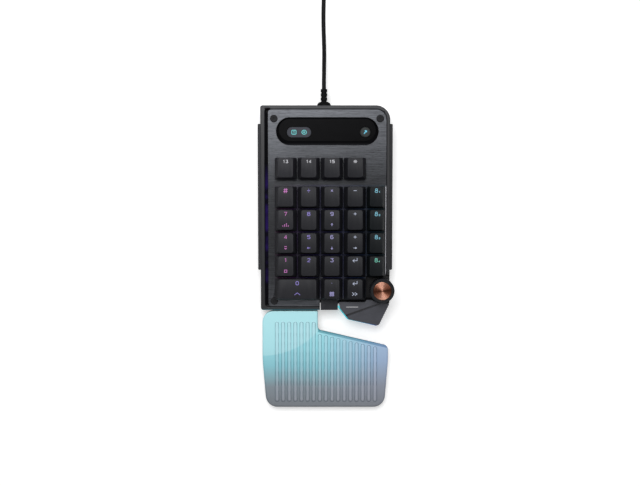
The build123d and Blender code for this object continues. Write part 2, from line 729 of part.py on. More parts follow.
# Stabiliser wire at rest, its arms raised by half the travel
wire_lift = math.degrees(math.atan(KEY_TRAVEL / 2 / WIRE_ARM))
wire_bar = Plane(
    origin=deck_point(zero_x, rows[0] - WIRE_ARM, WIRE_LEVEL), x_dir=DECK.x_dir, z_dir=DECK.z_dir
).rotated((wire_lift, 0, 0))
arm_length = math.hypot(WIRE_ARM, KEY_TRAVEL / 2) + WIRE_ARM_END
with BuildPart() as stabiliser_wire:
    with BuildLine(wire_bar) as wire_path:
        FilletPolyline(
            (-STABILISER_SPACING / 2, arm_length),
            (-STABILISER_SPACING / 2, 0),
            (STABILISER_SPACING / 2, 0),
            (STABILISER_SPACING / 2, arm_length),
            radius=WIRE_BEND,
        )
    with BuildSketch(Plane(origin=wire_path.line @ 0, z_dir=wire_path.line % 0)):
        Circle(WIRE_DIAMETER / 2)
    sweep(path=wire_path.line)
export(stabiliser_wire.part, "stabiliser_wire")


def cross(x, y, start, height, gap, mode):
    """The cross on a stem, or the hole that it fits, in the part being built."""
    with BuildSketch(level(start)) as section:
        with Locations((x, y)):
            Rectangle(CROSS_SPAN + 2 * gap, CROSS_THICK + 2 * gap)
            Rectangle(CROSS_THIN + 2 * gap, CROSS_SPAN + 2 * gap)
    extrude(section.sketch, amount=height, mode=mode)


def block(x, y, width, depth, bottom, top):
    """An upright block in the part being built."""
    with BuildSketch(level(bottom)) as section:
        with Locations((x, y)):
            Rectangle(width, depth)
    extrude(section.sketch, amount=top - bottom)


def build_key(name, x, y, foot):
    """A hollow dished cap, and the switch stem that it is pressed on."""
    wall = MACRO_WALL if foot == MACRO_FOOT else CAP_WALL
    top_width = foot - 2 * (MACRO_SIDE_RUN if foot == MACRO_FOOT else CAP_SIDE_RUN)
    top_length = key_foot - CAP_FRONT_RUN - CAP_REAR_RUN
    top_y = y + (CAP_FRONT_RUN - CAP_REAR_RUN) / 2
    dish_radius = (top_width**2 / 4 + DISH_DEPTH**2) / 2 / DISH_DEPTH
    stems = [(x, y)]
    if foot == zero_foot:
        stems += stabiliser_places
    with BuildPart() as key:
        with BuildSketch(level(CAP_SKIRT)):
            with Locations((x, y)):
                RectangleRounded(foot, key_foot, CAP_CORNER)
        with BuildSketch(level(CAP_TOP)):
            with Locations((x, top_y)):
                RectangleRounded(top_width, top_length, CAP_TOP_CORNER)
        loft(ruled=True)
        with BuildSketch(level(CAP_SKIRT)):
            with Locations((x, y)):
                Rectangle(foot - 2 * wall, key_foot - 2 * CAP_WALL)
        with BuildSketch(level(CAP_CEILING)):
            with Locations((x, top_y)):
                Rectangle(top_width - 2 * wall, top_length - 2 * CAP_WALL)
        loft(ruled=True, mode=Mode.SUBTRACT)
        dish_start = deck_point(x, y - key_foot, CAP_TOP - DISH_DEPTH + dish_radius)
        with BuildSketch(Plane(origin=dish_start, x_dir=DECK.x_dir, z_dir=DECK.y_dir)):
            Circle(dish_radius)
        extrude(amount=2 * key_foot, mode=Mode.SUBTRACT)
        with BuildSketch(level(CAP_CEILING)):
            with Locations(*stems):
                Circle(SOCKET_DIAMETER / 2)
        extrude(amount=STEM_HEAD + SEAT_GAP - CAP_CEILING)
        for stem_x, stem_y in stems:
            cross(stem_x, stem_y, STEM_HEAD + SEAT_GAP, CROSS_HEIGHT, FIT_GAP, Mode.SUBTRACT)
            cross(stem_x, stem_y, STEM_HEAD, CROSS_HEIGHT, 0, Mode.ADD)
        block(x, y, STEM_WIDTH, STEM_DEPTH, STEM_SHOULDER_TOP, STEM_HEAD)
        shoulder_width = STEM_WIDTH + 2 * STEM_SHOULDER
        block(x, y, shoulder_width, STEM_DEPTH + 2 * STEM_SHOULDER, STEM_FOOT, STEM_SHOULDER_TOP)
        with BuildSketch(level(STEM_FOOT)):
            with Locations((x, y)):
                Circle(POLE_DIAMETER / 2)
        extrude(amount=-POLE_LENGTH)
        for stem_x, stem_y in stems[1:]:
            block(
                stem_x, stem_y, STABILISER_STEM_WIDTH, STABILISER_STEM_DEPTH,
                STABILISER_STEM_FOOT, STEM_HEAD,
            )
            cut_wire_slot(stem_x, stem_y)
    export(key.part, name)


def cut_wire_slot(x, y):
    """The waisted slot in a stabiliser stem that the wire's arm tilts in."""
    half_slot = WIRE_DIAMETER / 2 + RUN_GAP
    middle = WIRE_LEVEL + KEY_TRAVEL / 2
    slope = KEY_TRAVEL / 2 / WIRE_ARM
    front = -STABILISER_STEM_DEPTH / 2
    rear = STABILISER_STEM_DEPTH / 2
    flank = Plane(origin=deck_point(x - half_slot, y, 0), x_dir=DECK.y_dir, z_dir=DECK.x_dir)
    with BuildSketch(flank) as slot:
        with BuildLine():
            Polyline(
                (front, middle - half_slot + front * slope),
                (0, middle - half_slot),
                (rear, middle - half_slot - rear * slope),
                (rear, middle + half_slot + rear * slope),
                (0, middle + half_slot),
                (front, middle + half_slot - front * slope),
                close=True,
            )
        make_face()
    extrude(slot.sketch, amount=2 * half_slot, mode=Mode.SUBTRACT)


for key_name, key_x, key_y, own_foot in keys:
    build_key(key_name, key_x, key_y, own_foot)

# Status panel: a sunk pill with a flange under the plate
panel_floor_level = -PANEL_DEPTH
panel_foot = panel_floor_level - PANEL_FLOOR
dish_width = PANEL_WIDTH - PANEL_SLOPE_REAR - PANEL_SLOPE_FRONT
dish_y = panel_y + (PANEL_SLOPE_FRONT - PANEL_SLOPE_REAR) / 2
with BuildPart() as status_panel:
    with BuildSketch(level(panel_foot)):
        with Locations((PANEL_X, panel_y)):
            SlotOverall(PANEL_LENGTH - 2 * SEAT_GAP, PANEL_WIDTH - 2 * SEAT_GAP)
    extrude(amount=-panel_foot)
    with BuildSketch(level(panel_foot)):
        with Locations((PANEL_X, panel_y)):
            SlotOverall(PANEL_LENGTH + 2 * PANEL_FLANGE, PANEL_WIDTH + 2 * PANEL_FLANGE)
    extrude(amount=ledge_level - panel_foot)
    with BuildSketch(level(0)):
        with Locations((PANEL_X, panel_y)):
            SlotOverall(PANEL_LENGTH - 2 * PANEL_RIM, PANEL_WIDTH - 2 * PANEL_RIM)
    with BuildSketch(level(panel_floor_level)):
        with Locations((PANEL_X, dish_y)):
            SlotOverall(PANEL_LENGTH - 2 * PANEL_SLOPE_END, dish_width)
    loft(ruled=True, mode=Mode.SUBTRACT)
    with BuildSketch(level(panel_foot)):
        with Locations((window_x, panel_item_y)):
            SlotOverall(WINDOW_LENGTH + 2 * SEAT_GAP, WINDOW_WIDTH + 2 * SEAT_GAP)
        with Locations((button_x, panel_item_y)):
            Circle(BUTTON_DIAMETER / 2 + RUN_GAP)
    extrude(amount=-panel_foot, mode=Mode.SUBTRACT)
export(status_panel.part, "status_panel")

# Indicator window in the panel
with BuildPart() as indicator_window:
    with BuildSketch(level(panel_foot)):
        with Locations((window_x, panel_item_y)):
            SlotOverall(WINDOW_LENGTH, WINDOW_WIDTH)
    extrude(amount=PANEL_FLOOR + WINDOW_PROUD)
export(indicator_window.part, "indicator_window")

# Profile button with a flange that keeps it under the panel
button_flange_top = panel_foot - RUN_GAP
with BuildPart() as profile_button:
    with BuildSketch(level(button_flange_top)):
        with Locations((button_x, panel_item_y)):
            Circle(BUTTON_DIAMETER / 2)
    extrude(amount=panel_floor_level + BUTTON_PROUD - button_flange_top)
    chamfer(profile_button.faces().sort_by(Axis(DECK.origin, DECK.z_dir))[-1].edges(), length=BUTTON_BEVEL)
    with BuildSketch(level(button_flange_top)):
        with Locations((button_x, panel_item_y)):
            Circle(BUTTON_DIAMETER / 2 + BUTTON_FLANGE)
    extrude(amount=-BUTTON_FLANGE_THICKNESS)
    with BuildSketch(level(button_flange_top)):
        with Locations((button_x, panel_item_y)):
            Circle(BUTTON_STEM / 2)
    extrude(amount=BUTTON_STEM_END - button_flange_top)
export(profile_button.part, "profile_button")

# Push switches under the profile button and under the paddle
with BuildPart() as tact_switches:
    with BuildSketch(level(BOARD_LEVEL)):
        with Locations((button_x, panel_item_y)):
            Rectangle(TACT_SIZE, TACT_SIZE)
    extrude(amount=TACT_LOW_HEIGHT)
    with BuildSketch(level(BOARD_LEVEL + TACT_LOW_HEIGHT)):
        with Locations((button_x, panel_item_y)):
            Circle(TACT_PLUNGER / 2)
    extrude(amount=TACT_PLUNGER_HEIGHT)
    with BuildSketch(level(THUMB_TACT_TOP - TACT_PLUNGER_HEIGHT)):
        with Locations(thumb_tact):
            Rectangle(TACT_SIZE, TACT_SIZE)
    extrude(amount=-THUMB_TACT_HEIGHT)
    with BuildSketch(level(THUMB_TACT_TOP)):
        with Locations(thumb_tact):
            Circle(TACT_PLUNGER / 2)
    extrude(amount=-TACT_PLUNGER_HEIGHT)
export(tact_switches.part, "tact_switches")

# Corner base: lip, knob well with the encoder's cup, and the wing with its two hinge ears
with BuildPart() as thumb_base:
    with BuildSketch(level(SPLIT_LEVEL)):
        add(base_outline)
    extrude(amount=WELL_LEVEL - SPLIT_LEVEL)
    with BuildSketch(level(WELL_LEVEL)):
        span(lip_left, lip_right, body_front, step_front - SEAT_GAP)
    extrude(amount=LIP_LEVEL - WELL_LEVEL)
    with BuildSketch(level(WELL_LEVEL)):
        with Locations((knob_x, knob_y)):
            Circle(CUP_DIAMETER / 2)
        span(
            body_right, body_right + beyond,
            knob_y - beyond, knob_y + beyond, mode=Mode.SUBTRACT,
        )
    extrude(amount=CUP_LEVEL - WELL_LEVEL)
    with BuildSketch(level(WING_LEVEL)):
        add(paddle_room)
    extrude(amount=LIP_LEVEL - WING_LEVEL, mode=Mode.SUBTRACT)
    with BuildSketch(level(SPLIT_LEVEL)):
        add(base_inner)
    extrude(amount=WING_CEILING - SPLIT_LEVEL, mode=Mode.SUBTRACT)
    with BuildSketch(level(SPLIT_LEVEL)):
        add(base_inner)
        add(offset(paddle_room, amount=BASE_WALL, mode=Mode.PRIVATE), mode=Mode.SUBTRACT)
    extrude(amount=WELL_CEILING - SPLIT_LEVEL, mode=Mode.SUBTRACT)
    with BuildSketch(level(SPLIT_LEVEL)):
        span(board_left, board_right + RUN_GAP, step_front - RUN_GAP, plate_rear)
    extrude(amount=BOARD_LEVEL + RUN_GAP - SPLIT_LEVEL, mode=Mode.SUBTRACT)
    with BuildSketch(level(SPLIT_LEVEL)):
        with Locations((knob_x, knob_y)):
            Rectangle(ENCODER_SIZE + 2 * SEAT_GAP, ENCODER_SIZE + 2 * SEAT_GAP)
    extrude(amount=ENCODER_TOP + SEAT_GAP - SPLIT_LEVEL, mode=Mode.SUBTRACT)
    with BuildSketch(level(SPLIT_LEVEL)):
        with Locations((knob_x, knob_y)):
            Circle(BUSHING_DIAMETER / 2 + SEAT_GAP)
        with Locations(thumb_tact):
            Rectangle(TACT_SIZE + 2 * RUN_GAP, TACT_SIZE + 2 * RUN_GAP)
    extrude(amount=CUP_LEVEL - SPLIT_LEVEL, mode=Mode.SUBTRACT)
    for ear_x in ear_places:
        side = Plane(
            origin=deck_point(ear_x - EAR_THICKNESS / 2, hinge_y, HINGE_LEVEL),
            x_dir=DECK.y_dir, z_dir=DECK.x_dir,
        )
        with BuildSketch(side):
            Circle(EAR_LENGTH / 2)
            span(-EAR_LENGTH / 2, EAR_LENGTH / 2, WING_LEVEL - HINGE_LEVEL, 0)
            Circle(HINGE_PIN / 2 + RUN_GAP, mode=Mode.SUBTRACT)
        extrude(amount=EAR_THICKNESS)
export(thumb_base.part, "thumb_base")

# Thumb paddle: two facets that meet in a crease, hollow below, on its own hinge pin
crease_run = (CREASE_RIGHT[0] - CREASE_LEFT[0], CREASE_RIGHT[1] - CREASE_LEFT[1])
crease_angle = math.degrees(math.atan2(crease_run[1], crease_run[0]))
crease_middle = (
    knob_x + (CREASE_LEFT[0] + CREASE_RIGHT[0]) / 2,
    knob_front + (CREASE_LEFT[1] + CREASE_RIGHT[1]) / 2,
)
crease_start = deck_point(knob_x + CREASE_LEFT[0], knob_front + CREASE_LEFT[1], PADDLE_TOP)
crease_end = deck_point(knob_x + CREASE_RIGHT[0], knob_front + CREASE_RIGHT[1], PADDLE_TOP)
crease_line = crease_end - crease_start
up_from_crease = DECK.z_dir.cross(crease_line).normalized()
facet = Plane(
    origin=crease_start, x_dir=crease_line,
    z_dir=DECK.z_dir * math.cos(math.radians(FACET_FALL)) - up_from_crease * math.sin(math.radians(FACET_FALL)),
)
with BuildPart() as thumb_key:
    with BuildSketch(level(PADDLE_SKIRT)):
        add(paddle_outline)
    extrude(amount=PADDLE_TOP - PADDLE_SKIRT)
    split(bisect_by=facet, keep=Keep.BOTTOM)
    with BuildSketch(level(PADDLE_TOP)):
        with Locations(crease_middle):
            Rectangle(math.hypot(*crease_run) + 2 * CREASE_OVERRUN, CREASE_WIDTH, rotation=crease_angle)
    extrude(amount=-CREASE_DEPTH, mode=Mode.SUBTRACT)
    with BuildSketch(level(PADDLE_SKIRT)):
        add(paddle_inner)
    extrude(amount=PADDLE_CEILING - PADDLE_SKIRT, mode=Mode.SUBTRACT)
    with BuildSketch(level(PADDLE_SKIRT)):
        span(
            body_left, body_right + beyond,
            hinge_y - EAR_LENGTH / 2 - PADDLE_GAP, step_rear,
        )
    extrude(amount=PADDLE_REAR_SKIRT - PADDLE_SKIRT, mode=Mode.SUBTRACT)
    with BuildSketch(level(PADDLE_CEILING)):
        for ear_x in ear_places:
            reach = EAR_THICKNESS / 2 + PADDLE_GAP
            with Locations((ear_x, hinge_y)):
                Rectangle(2 * reach, EAR_LENGTH + 2 * PADDLE_GAP)
    extrude(amount=HINGE_LEVEL + EAR_LENGTH / 2 + PADDLE_GAP - PADDLE_CEILING, mode=Mode.SUBTRACT)
    with BuildSketch(Plane(origin=deck_point(knob_x + HINGE_START, hinge_y, HINGE_LEVEL), z_dir=DECK.x_dir)):
        Circle(HINGE_PIN / 2)
    extrude(amount=HINGE_END - HINGE_START)
    with BuildSketch(level(THUMB_RIB_END)):
        with Locations(thumb_tact):
            Circle(THUMB_RIB / 2)
    extrude(amount=PADDLE_CEILING - THUMB_RIB_END)
export(thumb_key.part, "thumb_key")

# Light strip round the foot of the wing, showing past the paddle's left and front edges
with BuildPart() as thumb_light_strip:
    with BuildSketch(level(STRIP_LEVEL)):
        add(offset(paddle_outline, amount=STRIP_PROUD, kind=Kind.INTERSECTION, mode=Mode.PRIVATE))
        add(case_outline, mode=Mode.SUBTRACT)
        span(body_left, body_right + beyond, strip_rear, step_rear, mode=Mode.SUBTRACT)
        span(
            strip_end, body_right + beyond,
            body_front - beyond, strip_rear, mode=Mode.SUBTRACT,
        )
    extrude(amount=STRIP_HEIGHT)
export(thumb_light_strip.part, "thumb_light_strip")

# Encoder body with its bushing
with BuildPart() as encoder_body:
    with BuildSketch(level(BOARD_LEVEL)):
        with Locations((knob_x, knob_y)):
            Rectangle(ENCODER_SIZE, ENCODER_SIZE)
    extrude(amount=ENCODER_TOP - BOARD_LEVEL)
    with BuildSketch(level(ENCODER_TOP)):
        with Locations((knob_x, knob_y)):
            Circle(BUSHING_DIAMETER / 2)
    extrude(amount=BUSHING_TOP - ENCODER_TOP)
    with BuildSketch(level(ENCODER_CAVITY_FLOOR)):
        with Locations((knob_x, knob_y)):
            Circle(ENCODER_CAVITY / 2)
    extrude(amount=ENCODER_CAVITY_TOP - ENCODER_CAVITY_FLOOR, mode=Mode.SUBTRACT)
    with BuildSketch(level(ENCODER_CAVITY_TOP)):
        with Locations((knob_x, knob_y)):
            Circle(SHAFT_DIAMETER / 2 + SHAFT_BORE_GAP)
    extrude(amount=BUSHING_TOP - ENCODER_CAVITY_TOP, mode=Mode.SUBTRACT)
export(encoder_body.part, "encoder_body")

# Plunger that the shaft presses down
with BuildPart() as encoder_plunger:
    with BuildSketch(level(PLUNGER_TOP)):
        with Locations((knob_x, knob_y)):
            Circle(PLUNGER_DIAMETER / 2)
    extrude(amount=-PLUNGER_HEIGHT)
export(encoder_plunger.part, "encoder_plunger")

# Encoder shaft with the collar that keeps it under the bushing
with BuildPart() as encoder_shaft:
    with BuildSketch(level(SHAFT_COLLAR_LEVEL)):
        with Locations((knob_x, knob_y)):
            Circle(SHAFT_COLLAR / 2)
    extrude(amount=SHAFT_COLLAR_HEIGHT)
    with BuildSketch(level(SHAFT_COLLAR_LEVEL)):
        with Locations((knob_x, knob_y)):
            Circle(SHAFT_DIAMETER / 2)
    extrude(amount=SHAFT_TOP - SHAFT_COLLAR_LEVEL)
export(encoder_shaft.part, "encoder_shaft")

# Knob: a fluted black shell on the shaft
knob_plane = Plane(origin=deck_point(knob_x, knob_y, 0), x_dir=DECK.x_dir, z_dir=DECK.z_dir)
with BuildPart() as knob_body:
    with BuildSketch(knob_plane.offset(KNOB_FOOT)):
        Circle(KNOB_DIAMETER / 2)
    extrude(amount=KNOB_TOP - KNOB_FOOT)
    chamfer(knob_body.edges().filter_by(GeomType.CIRCLE), length=KNOB_BEVEL)
    with BuildSketch(knob_plane.offset(KNOB_FOOT)):
        Circle(KNOB_DIAMETER / 2 - KNOB_WALL)
    extrude(amount=KNOB_HUB_LEVEL - KNOB_FOOT, mode=Mode.SUBTRACT)
    with BuildSketch(knob_plane.offset(KNOB_HUB_LEVEL)):
        Circle(SHAFT_DIAMETER / 2 + FIT_GAP)
    extrude(amount=SHAFT_TOP + SEAT_GAP - KNOB_HUB_LEVEL, mode=Mode.SUBTRACT)
    with BuildSketch(knob_plane.offset(KNOB_TOP)):
        Circle(DISC_DIAMETER / 2 + SEAT_GAP)
    extrude(amount=DISC_PROUD - DISC_THICKNESS, mode=Mode.SUBTRACT)
    with BuildSketch(knob_plane.offset(KNOB_FOOT + KNOB_FLUTE_MARGIN)):
        with PolarLocations(KNOB_DIAMETER / 2 + KNOB_FLUTE_INSET, KNOB_FLUTES):
            Circle(KNOB_FLUTE_DIAMETER / 2)
    extrude(amount=KNOB_TOP - KNOB_FOOT - 2 * KNOB_FLUTE_MARGIN, mode=Mode.SUBTRACT)
export(knob_body.part, "knob_body")

# Spun copper disc let into the knob's top
with BuildPart() as knob_disc:
    with BuildSketch(knob_plane.offset(KNOB_TOP + DISC_PROUD)):
        Circle(DISC_DIAMETER / 2)
    extrude(amount=-DISC_THICKNESS)
    chamfer(knob_disc.edges().sort_by(Axis(DECK.origin, DECK.z_dir))[-1], length=DISC_PROUD)
export(knob_disc.part, "knob_disc")

# Screws through the plate into the case
with BuildPart() as plate_screws:
    with BuildSketch(level(0)):
        with Locations(*screw_places):
            Circle(SCREW_HEAD / 2)
    extrude(amount=SCREW_HEAD_HEIGHT)
    heads = plate_screws.faces().group_by(Axis(DECK.origin, DECK.z_dir))[-1]
    chamfer(heads.edges(), length=SCREW_HEAD_BEVEL)
    with BuildSketch(level(0)):
        with Locations(*screw_places):
            Circle(SCREW_SHANK / 2)
    extrude(amount=-SCREW_LENGTH)
    with BuildSketch(level(SCREW_HEAD_HEIGHT)):
        with Locations(*screw_places):
            RegularPolygon(SCREW_SOCKET / 2, 6, major_radius=False)
    extrude(amount=-SCREW_SOCKET_DEPTH, mode=Mode.SUBTRACT)
export(plate_screws.part, "plate_screws")

# Rubber feet of the case
with BuildPart() as case_feet:
    with BuildSketch(DESK):
        with Locations(*case_feet_places):
            Circle(CASE_FOOT_DIAMETER / 2)
    extrude(amount=FOOT_HEIGHT + CASE_FOOT_RECESS)
export(case_feet.part, "case_feet")

# Palm rest: outline, sloping top and the plane of its ribs
palm_rear = body_front - PALM_GAP
palm_front = palm_rear - PALM_LENGTH
palm_left = body_left + PALM_INSET_LEFT
palm_right = body_right - PALM_INSET_RIGHT
palm_waist = palm_rear - PALM_WAIST_DROP
palm_slope_left = palm_rear - PALM_SLOPE_DROP_LEFT
palm_slope_right = palm_rear - PALM_SLOPE_DROP_RIGHT
palm_slope = math.degrees(math.atan((PALM_REAR_HEIGHT - PALM_FRONT_HEIGHT) / (palm_rear - palm_front)))
palm_top = Plane(
    origin=(0, LAYOUT_SHIFT + palm_rear, PALM_REAR_HEIGHT),
    x_dir=(1, 0, 0),
    z_dir=(0, -math.sin(math.radians(palm_slope)), math.cos(math.radians(palm_slope))),
)
palm_outline = outline(
    [
        (palm_left, palm_rear),
        (palm_left, palm_waist),
        (palm_left + PALM_TAPER, palm_front),
        (palm_right - PALM_TAPER, palm_front),
        (palm_right, palm_waist),
        (palm_right, palm_slope_right),
        (palm_tongue, palm_slope_left),
        (palm_tongue, palm_rear),
    ],
    [
        PALM_CORNER, PALM_WAIST_RADIUS, PALM_CORNER, PALM_CORNER, PALM_WAIST_RADIUS,
        PALM_SLOPE_RADIUS, PALM_NOTCH_RADIUS, PALM_TONGUE_RADIUS,
    ],
)
with BuildPart() as palm_pad:
    with BuildSketch(DESK.offset(PALM_BASE_TOP)):
        add(palm_outline)
    extrude(amount=PALM_REAR_HEIGHT)
    split(bisect_by=palm_top, keep=Keep.BOTTOM)
    crown = palm_pad.faces().sort_by(Axis.Z)[-1]
    fillet(crown.edges(), radius=PALM_EDGE)
    slope_rate = (palm_slope_right - palm_slope_left) / (palm_right - palm_tongue)
    rib_pitch = (palm_right - RIB_INSET_RIGHT - palm_left - RIB_INSET_LEFT) / (RIB_COUNT - 1)
    with BuildSketch(palm_top.offset(-RIB_HEIGHT)):
        for step in range(RIB_COUNT):
            rib_x = palm_left + RIB_INSET_LEFT + step * rib_pitch
            rib_rear = palm_rear - RIB_REAR_MARGIN
            if step >= RIB_REAR_COUNT:
                rib_rear = palm_slope_left + slope_rate * (rib_x - palm_tongue) - RIB_SLOPE_MARGIN
            rib_front = palm_front + RIB_FRONT_MARGIN
            with Locations((rib_x, (rib_front + rib_rear) / 2 - palm_rear)):
                SlotOverall(rib_rear - rib_front, RIB_WIDTH, rotation=90)
    extrude(amount=2 * RIB_HEIGHT)
export(palm_pad.part, "palm_pad")

# Base shell of the palm rest, with the two tabs that plug into the case
palm_feet_places = [
    (palm_left + PALM_FOOT_INSET_SIDE, palm_rear - PALM_FOOT_INSET_REAR),
    (palm_right - PALM_FOOT_INSET_SIDE, palm_slope_right - PALM_FOOT_INSET_REAR),
    (palm_left + PALM_FOOT_INSET_SIDE, palm_front + PALM_FOOT_INSET_FRONT),
    (palm_right - PALM_FOOT_INSET_SIDE, palm_front + PALM_FOOT_INSET_FRONT),
]
with BuildPart() as palm_base:
    with BuildSketch(DESK.offset(PALM_FOOT_HEIGHT)):
        add(offset(palm_outline, amount=-PALM_BASE_INSET, kind=Kind.INTERSECTION, mode=Mode.PRIVATE))
    extrude(amount=PALM_BASE_TOP - PALM_FOOT_HEIGHT)
    with BuildSketch(DESK.offset(TAB_LEVEL)):
        for place in tab_places:
            span(
                place - TAB_WIDTH / 2, place + TAB_WIDTH / 2,
                palm_rear - TAB_ROOT, palm_rear + TAB_LENGTH,
            )
    extrude(amount=TAB_THICKNESS)
    with BuildSketch(DESK.offset(PALM_FOOT_HEIGHT)):
        with Locations(*palm_feet_places):
            Circle(PALM_FOOT_DIAMETER / 2 + SEAT_GAP)
    extrude(amount=PALM_FOOT_RECESS, mode=Mode.SUBTRACT)
export(palm_base.part, "palm_base")

# Rubber feet of the palm rest
with BuildPart() as palm_feet:
    with BuildSketch(DESK):
        with Locations(*palm_feet_places):
            Circle(PALM_FOOT_DIAMETER / 2)
    extrude(amount=PALM_FOOT_HEIGHT + PALM_FOOT_RECESS)
export(palm_feet.part, "palm_feet")

# Strain relief: flange inside the rear wall, domed base and a ribbed neck
relief_length = RELIEF_BASE_LENGTH + RELIEF_RIBS * (RELIEF_RIB_LENGTH + RELIEF_RIB_GAP)
relief_plane = Plane(
    origin=deck_point(CABLE_X, body_rear, CABLE_LEVEL), x_dir=DECK.y_dir, z_dir=DECK.x_dir
)
throat_start = -CASE_WALL - SEAT_GAP
flange_start = throat_start - RELIEF_FLANGE_THICKNESS
with BuildPart() as strain_relief:
    with BuildSketch(relief_plane):
        span(flange_start, throat_start, 0, RELIEF_FLANGE / 2)
        span(throat_start, SEAT_GAP, 0, RELIEF_THROAT / 2)
        with BuildLine():
            Line((SEAT_GAP, 0), (SEAT_GAP, RELIEF_BASE / 2))
            Line((SEAT_GAP, RELIEF_BASE / 2), (RELIEF_BASE_EDGE, RELIEF_BASE / 2))
            TangentArc(
                (RELIEF_BASE_EDGE, RELIEF_BASE / 2), (RELIEF_BASE_LENGTH, RELIEF_NECK / 2), tangent=(1, 0)
            )
            Line((RELIEF_BASE_LENGTH, RELIEF_NECK / 2), (RELIEF_BASE_LENGTH, 0))
            Line((RELIEF_BASE_LENGTH, 0), (SEAT_GAP, 0))
        make_face()
        span(RELIEF_BASE_LENGTH, relief_length, 0, RELIEF_NECK / 2)
        for step in range(RELIEF_RIBS):
            rib_start = RELIEF_BASE_LENGTH + RELIEF_RIB_GAP + step * (RELIEF_RIB_LENGTH + RELIEF_RIB_GAP)
            span(rib_start, rib_start + RELIEF_RIB_LENGTH, 0, RELIEF_RIB / 2)
    revolve(axis=Axis(relief_plane.origin, DECK.y_dir))
export(strain_relief.part, "strain_relief")


def tube(path):
    """Sweep the lead's round section along a path, and compare its volume with section times length."""
    with BuildSketch(Plane(origin=path @ 0, z_dir=path % 0)) as section:
        Circle(CABLE_DIAMETER / 2)
    sweep(section.sketch, path=path)
    return math.pi * CABLE_DIAMETER**2 / 4 * path.length


# Free run of the lead: straight out of the relief, down to the desk and along it
exit_point = deck_point(CABLE_X, body_rear + relief_length, CABLE_LEVEL)
leave_point = exit_point + DECK.y_dir * ROUTE_LEAVE
coil_start = Vector(CABLE_X, COIL_START_Y, CABLE_REST)
route = [exit_point, leave_point, *[Vector(*point) for point in ROUTE_POINTS], coil_start]
route_radii = []
for before, corner, after in zip(route, route[1:], route[2:]):
    turn = math.radians((corner - before).get_angle(after - corner))
    shorter = min((corner - before).length, (after - corner).length)
    route_radii.append(ROUTE_ARC_SHARE * shorter / math.tan(turn / 2))
print("lead bend radii", [round(radius, 1) for radius in route_radii])
with BuildPart() as cable_lead:
    with BuildLine() as lead_path:
        FilletPolyline(*route, radius=route_radii)
    lead_volume = tube(lead_path.wire())
print("lead volume", round(cable_lead.part.volume, 1), "expected", round(lead_volume, 1))
print("lead length", round(lead_path.wire().length, 1))
export(cable_lead.part, "cable_lead")

# Coil of the put-away length: spirals in on the desk, climbs one layer and spirals out again
coil_outer = COIL_INNER + COIL_PITCH * COIL_TURNS / 2
coil_centre = Vector(CABLE_X - coil_outer, COIL_START_Y + CABLE_DIAMETER, CABLE_REST)
reverse_angle = math.pi * COIL_TURNS


def coil_point(angle):
    """A point of the coil's centre line, by the angle wound from its start."""
    radius = COIL_INNER + COIL_PITCH * abs(angle - reverse_angle) / (2 * math.pi)
    climb = min(max((angle - reverse_angle) / math.pi + 0.5, 0), 1)
    return coil_centre + Vector(
        radius * math.cos(angle), radius * math.sin(angle), COIL_LAYER * (climb * climb * (3 - 2 * climb))
    )


def coil_heading(angle):
    """The direction of the coil's centre line, from points just before and after."""
    step = math.pi / 8
    return (coil_point(angle + step) - coil_point(angle - step)).normalized()


def biarc(start, start_heading, end, end_heading):
    """Two arcs that meet smoothly, in the line being drawn."""
    chord = end - start
    headings = start_heading + end_heading
    spread = 2 * (1 - start_heading.dot(end_heading))
    along = chord.dot(headings)
    if spread < 1e-9:
        reach = chord.length**2 / (2 * along)
    else:
        reach = (math.sqrt(along**2 + spread * chord.length**2) - along) / spread
    first = start + start_heading * reach
    last = end - end_heading * reach
    middle = (first + last) * 0.5
    TangentArc(start, middle, tangent=start_heading)
    TangentArc(middle, end, tangent=last - first)


quarter_turns = round(COIL_TURNS * 4)
coil_angles = [math.pi / 2 * step for step in range(quarter_turns + 1)]
coil_points = [coil_point(angle) for angle in coil_angles]
coil_headings = [coil_heading(angle) for angle in coil_angles]
coil_headings[0] = Vector(0, 1, 0)
coil_headings[-1] = Vector(-1, 0, 0)
plug_entry = Vector(coil_points[-1].X - TAIL_LENGTH, coil_points[-1].Y, PLUG_THICKNESS / 2)
tail_end = plug_entry + Vector(CABLE_DIAMETER, 0, 0)
with BuildPart() as cable_coil:
    with BuildLine() as coil_path:
        Line(coil_start, coil_points[0])
        for step in range(quarter_turns):
            biarc(coil_points[step], coil_headings[step], coil_points[step + 1], coil_headings[step + 1])
        biarc(coil_points[-1], coil_headings[-1], tail_end, Vector(-1, 0, 0))
        Line(tail_end, plug_entry)
    coil_volume = tube(coil_path.wire())
print("coil volume", round(cable_coil.part.volume, 1), "expected", round(coil_volume, 1))
print("coil length", round(coil_path.wire().length, 1))
export(cable_coil.part, "cable_coil")

# Least gap between the coil's turns, measured on points of its centre line
samples = round(coil_path.wire().length / 2)
line_points = [coil_path.wire() @ (step / samples) for step in range(samples + 1)]
apart = round(4 * CABLE_DIAMETER / 2)
least = min(
    (line_points[first] - line_points[second]).length
    for first in range(samples + 1)
    for second in range(first + apart, samples + 1)
)
print("coil least gap", round(least - CABLE_DIAMETER, 2))

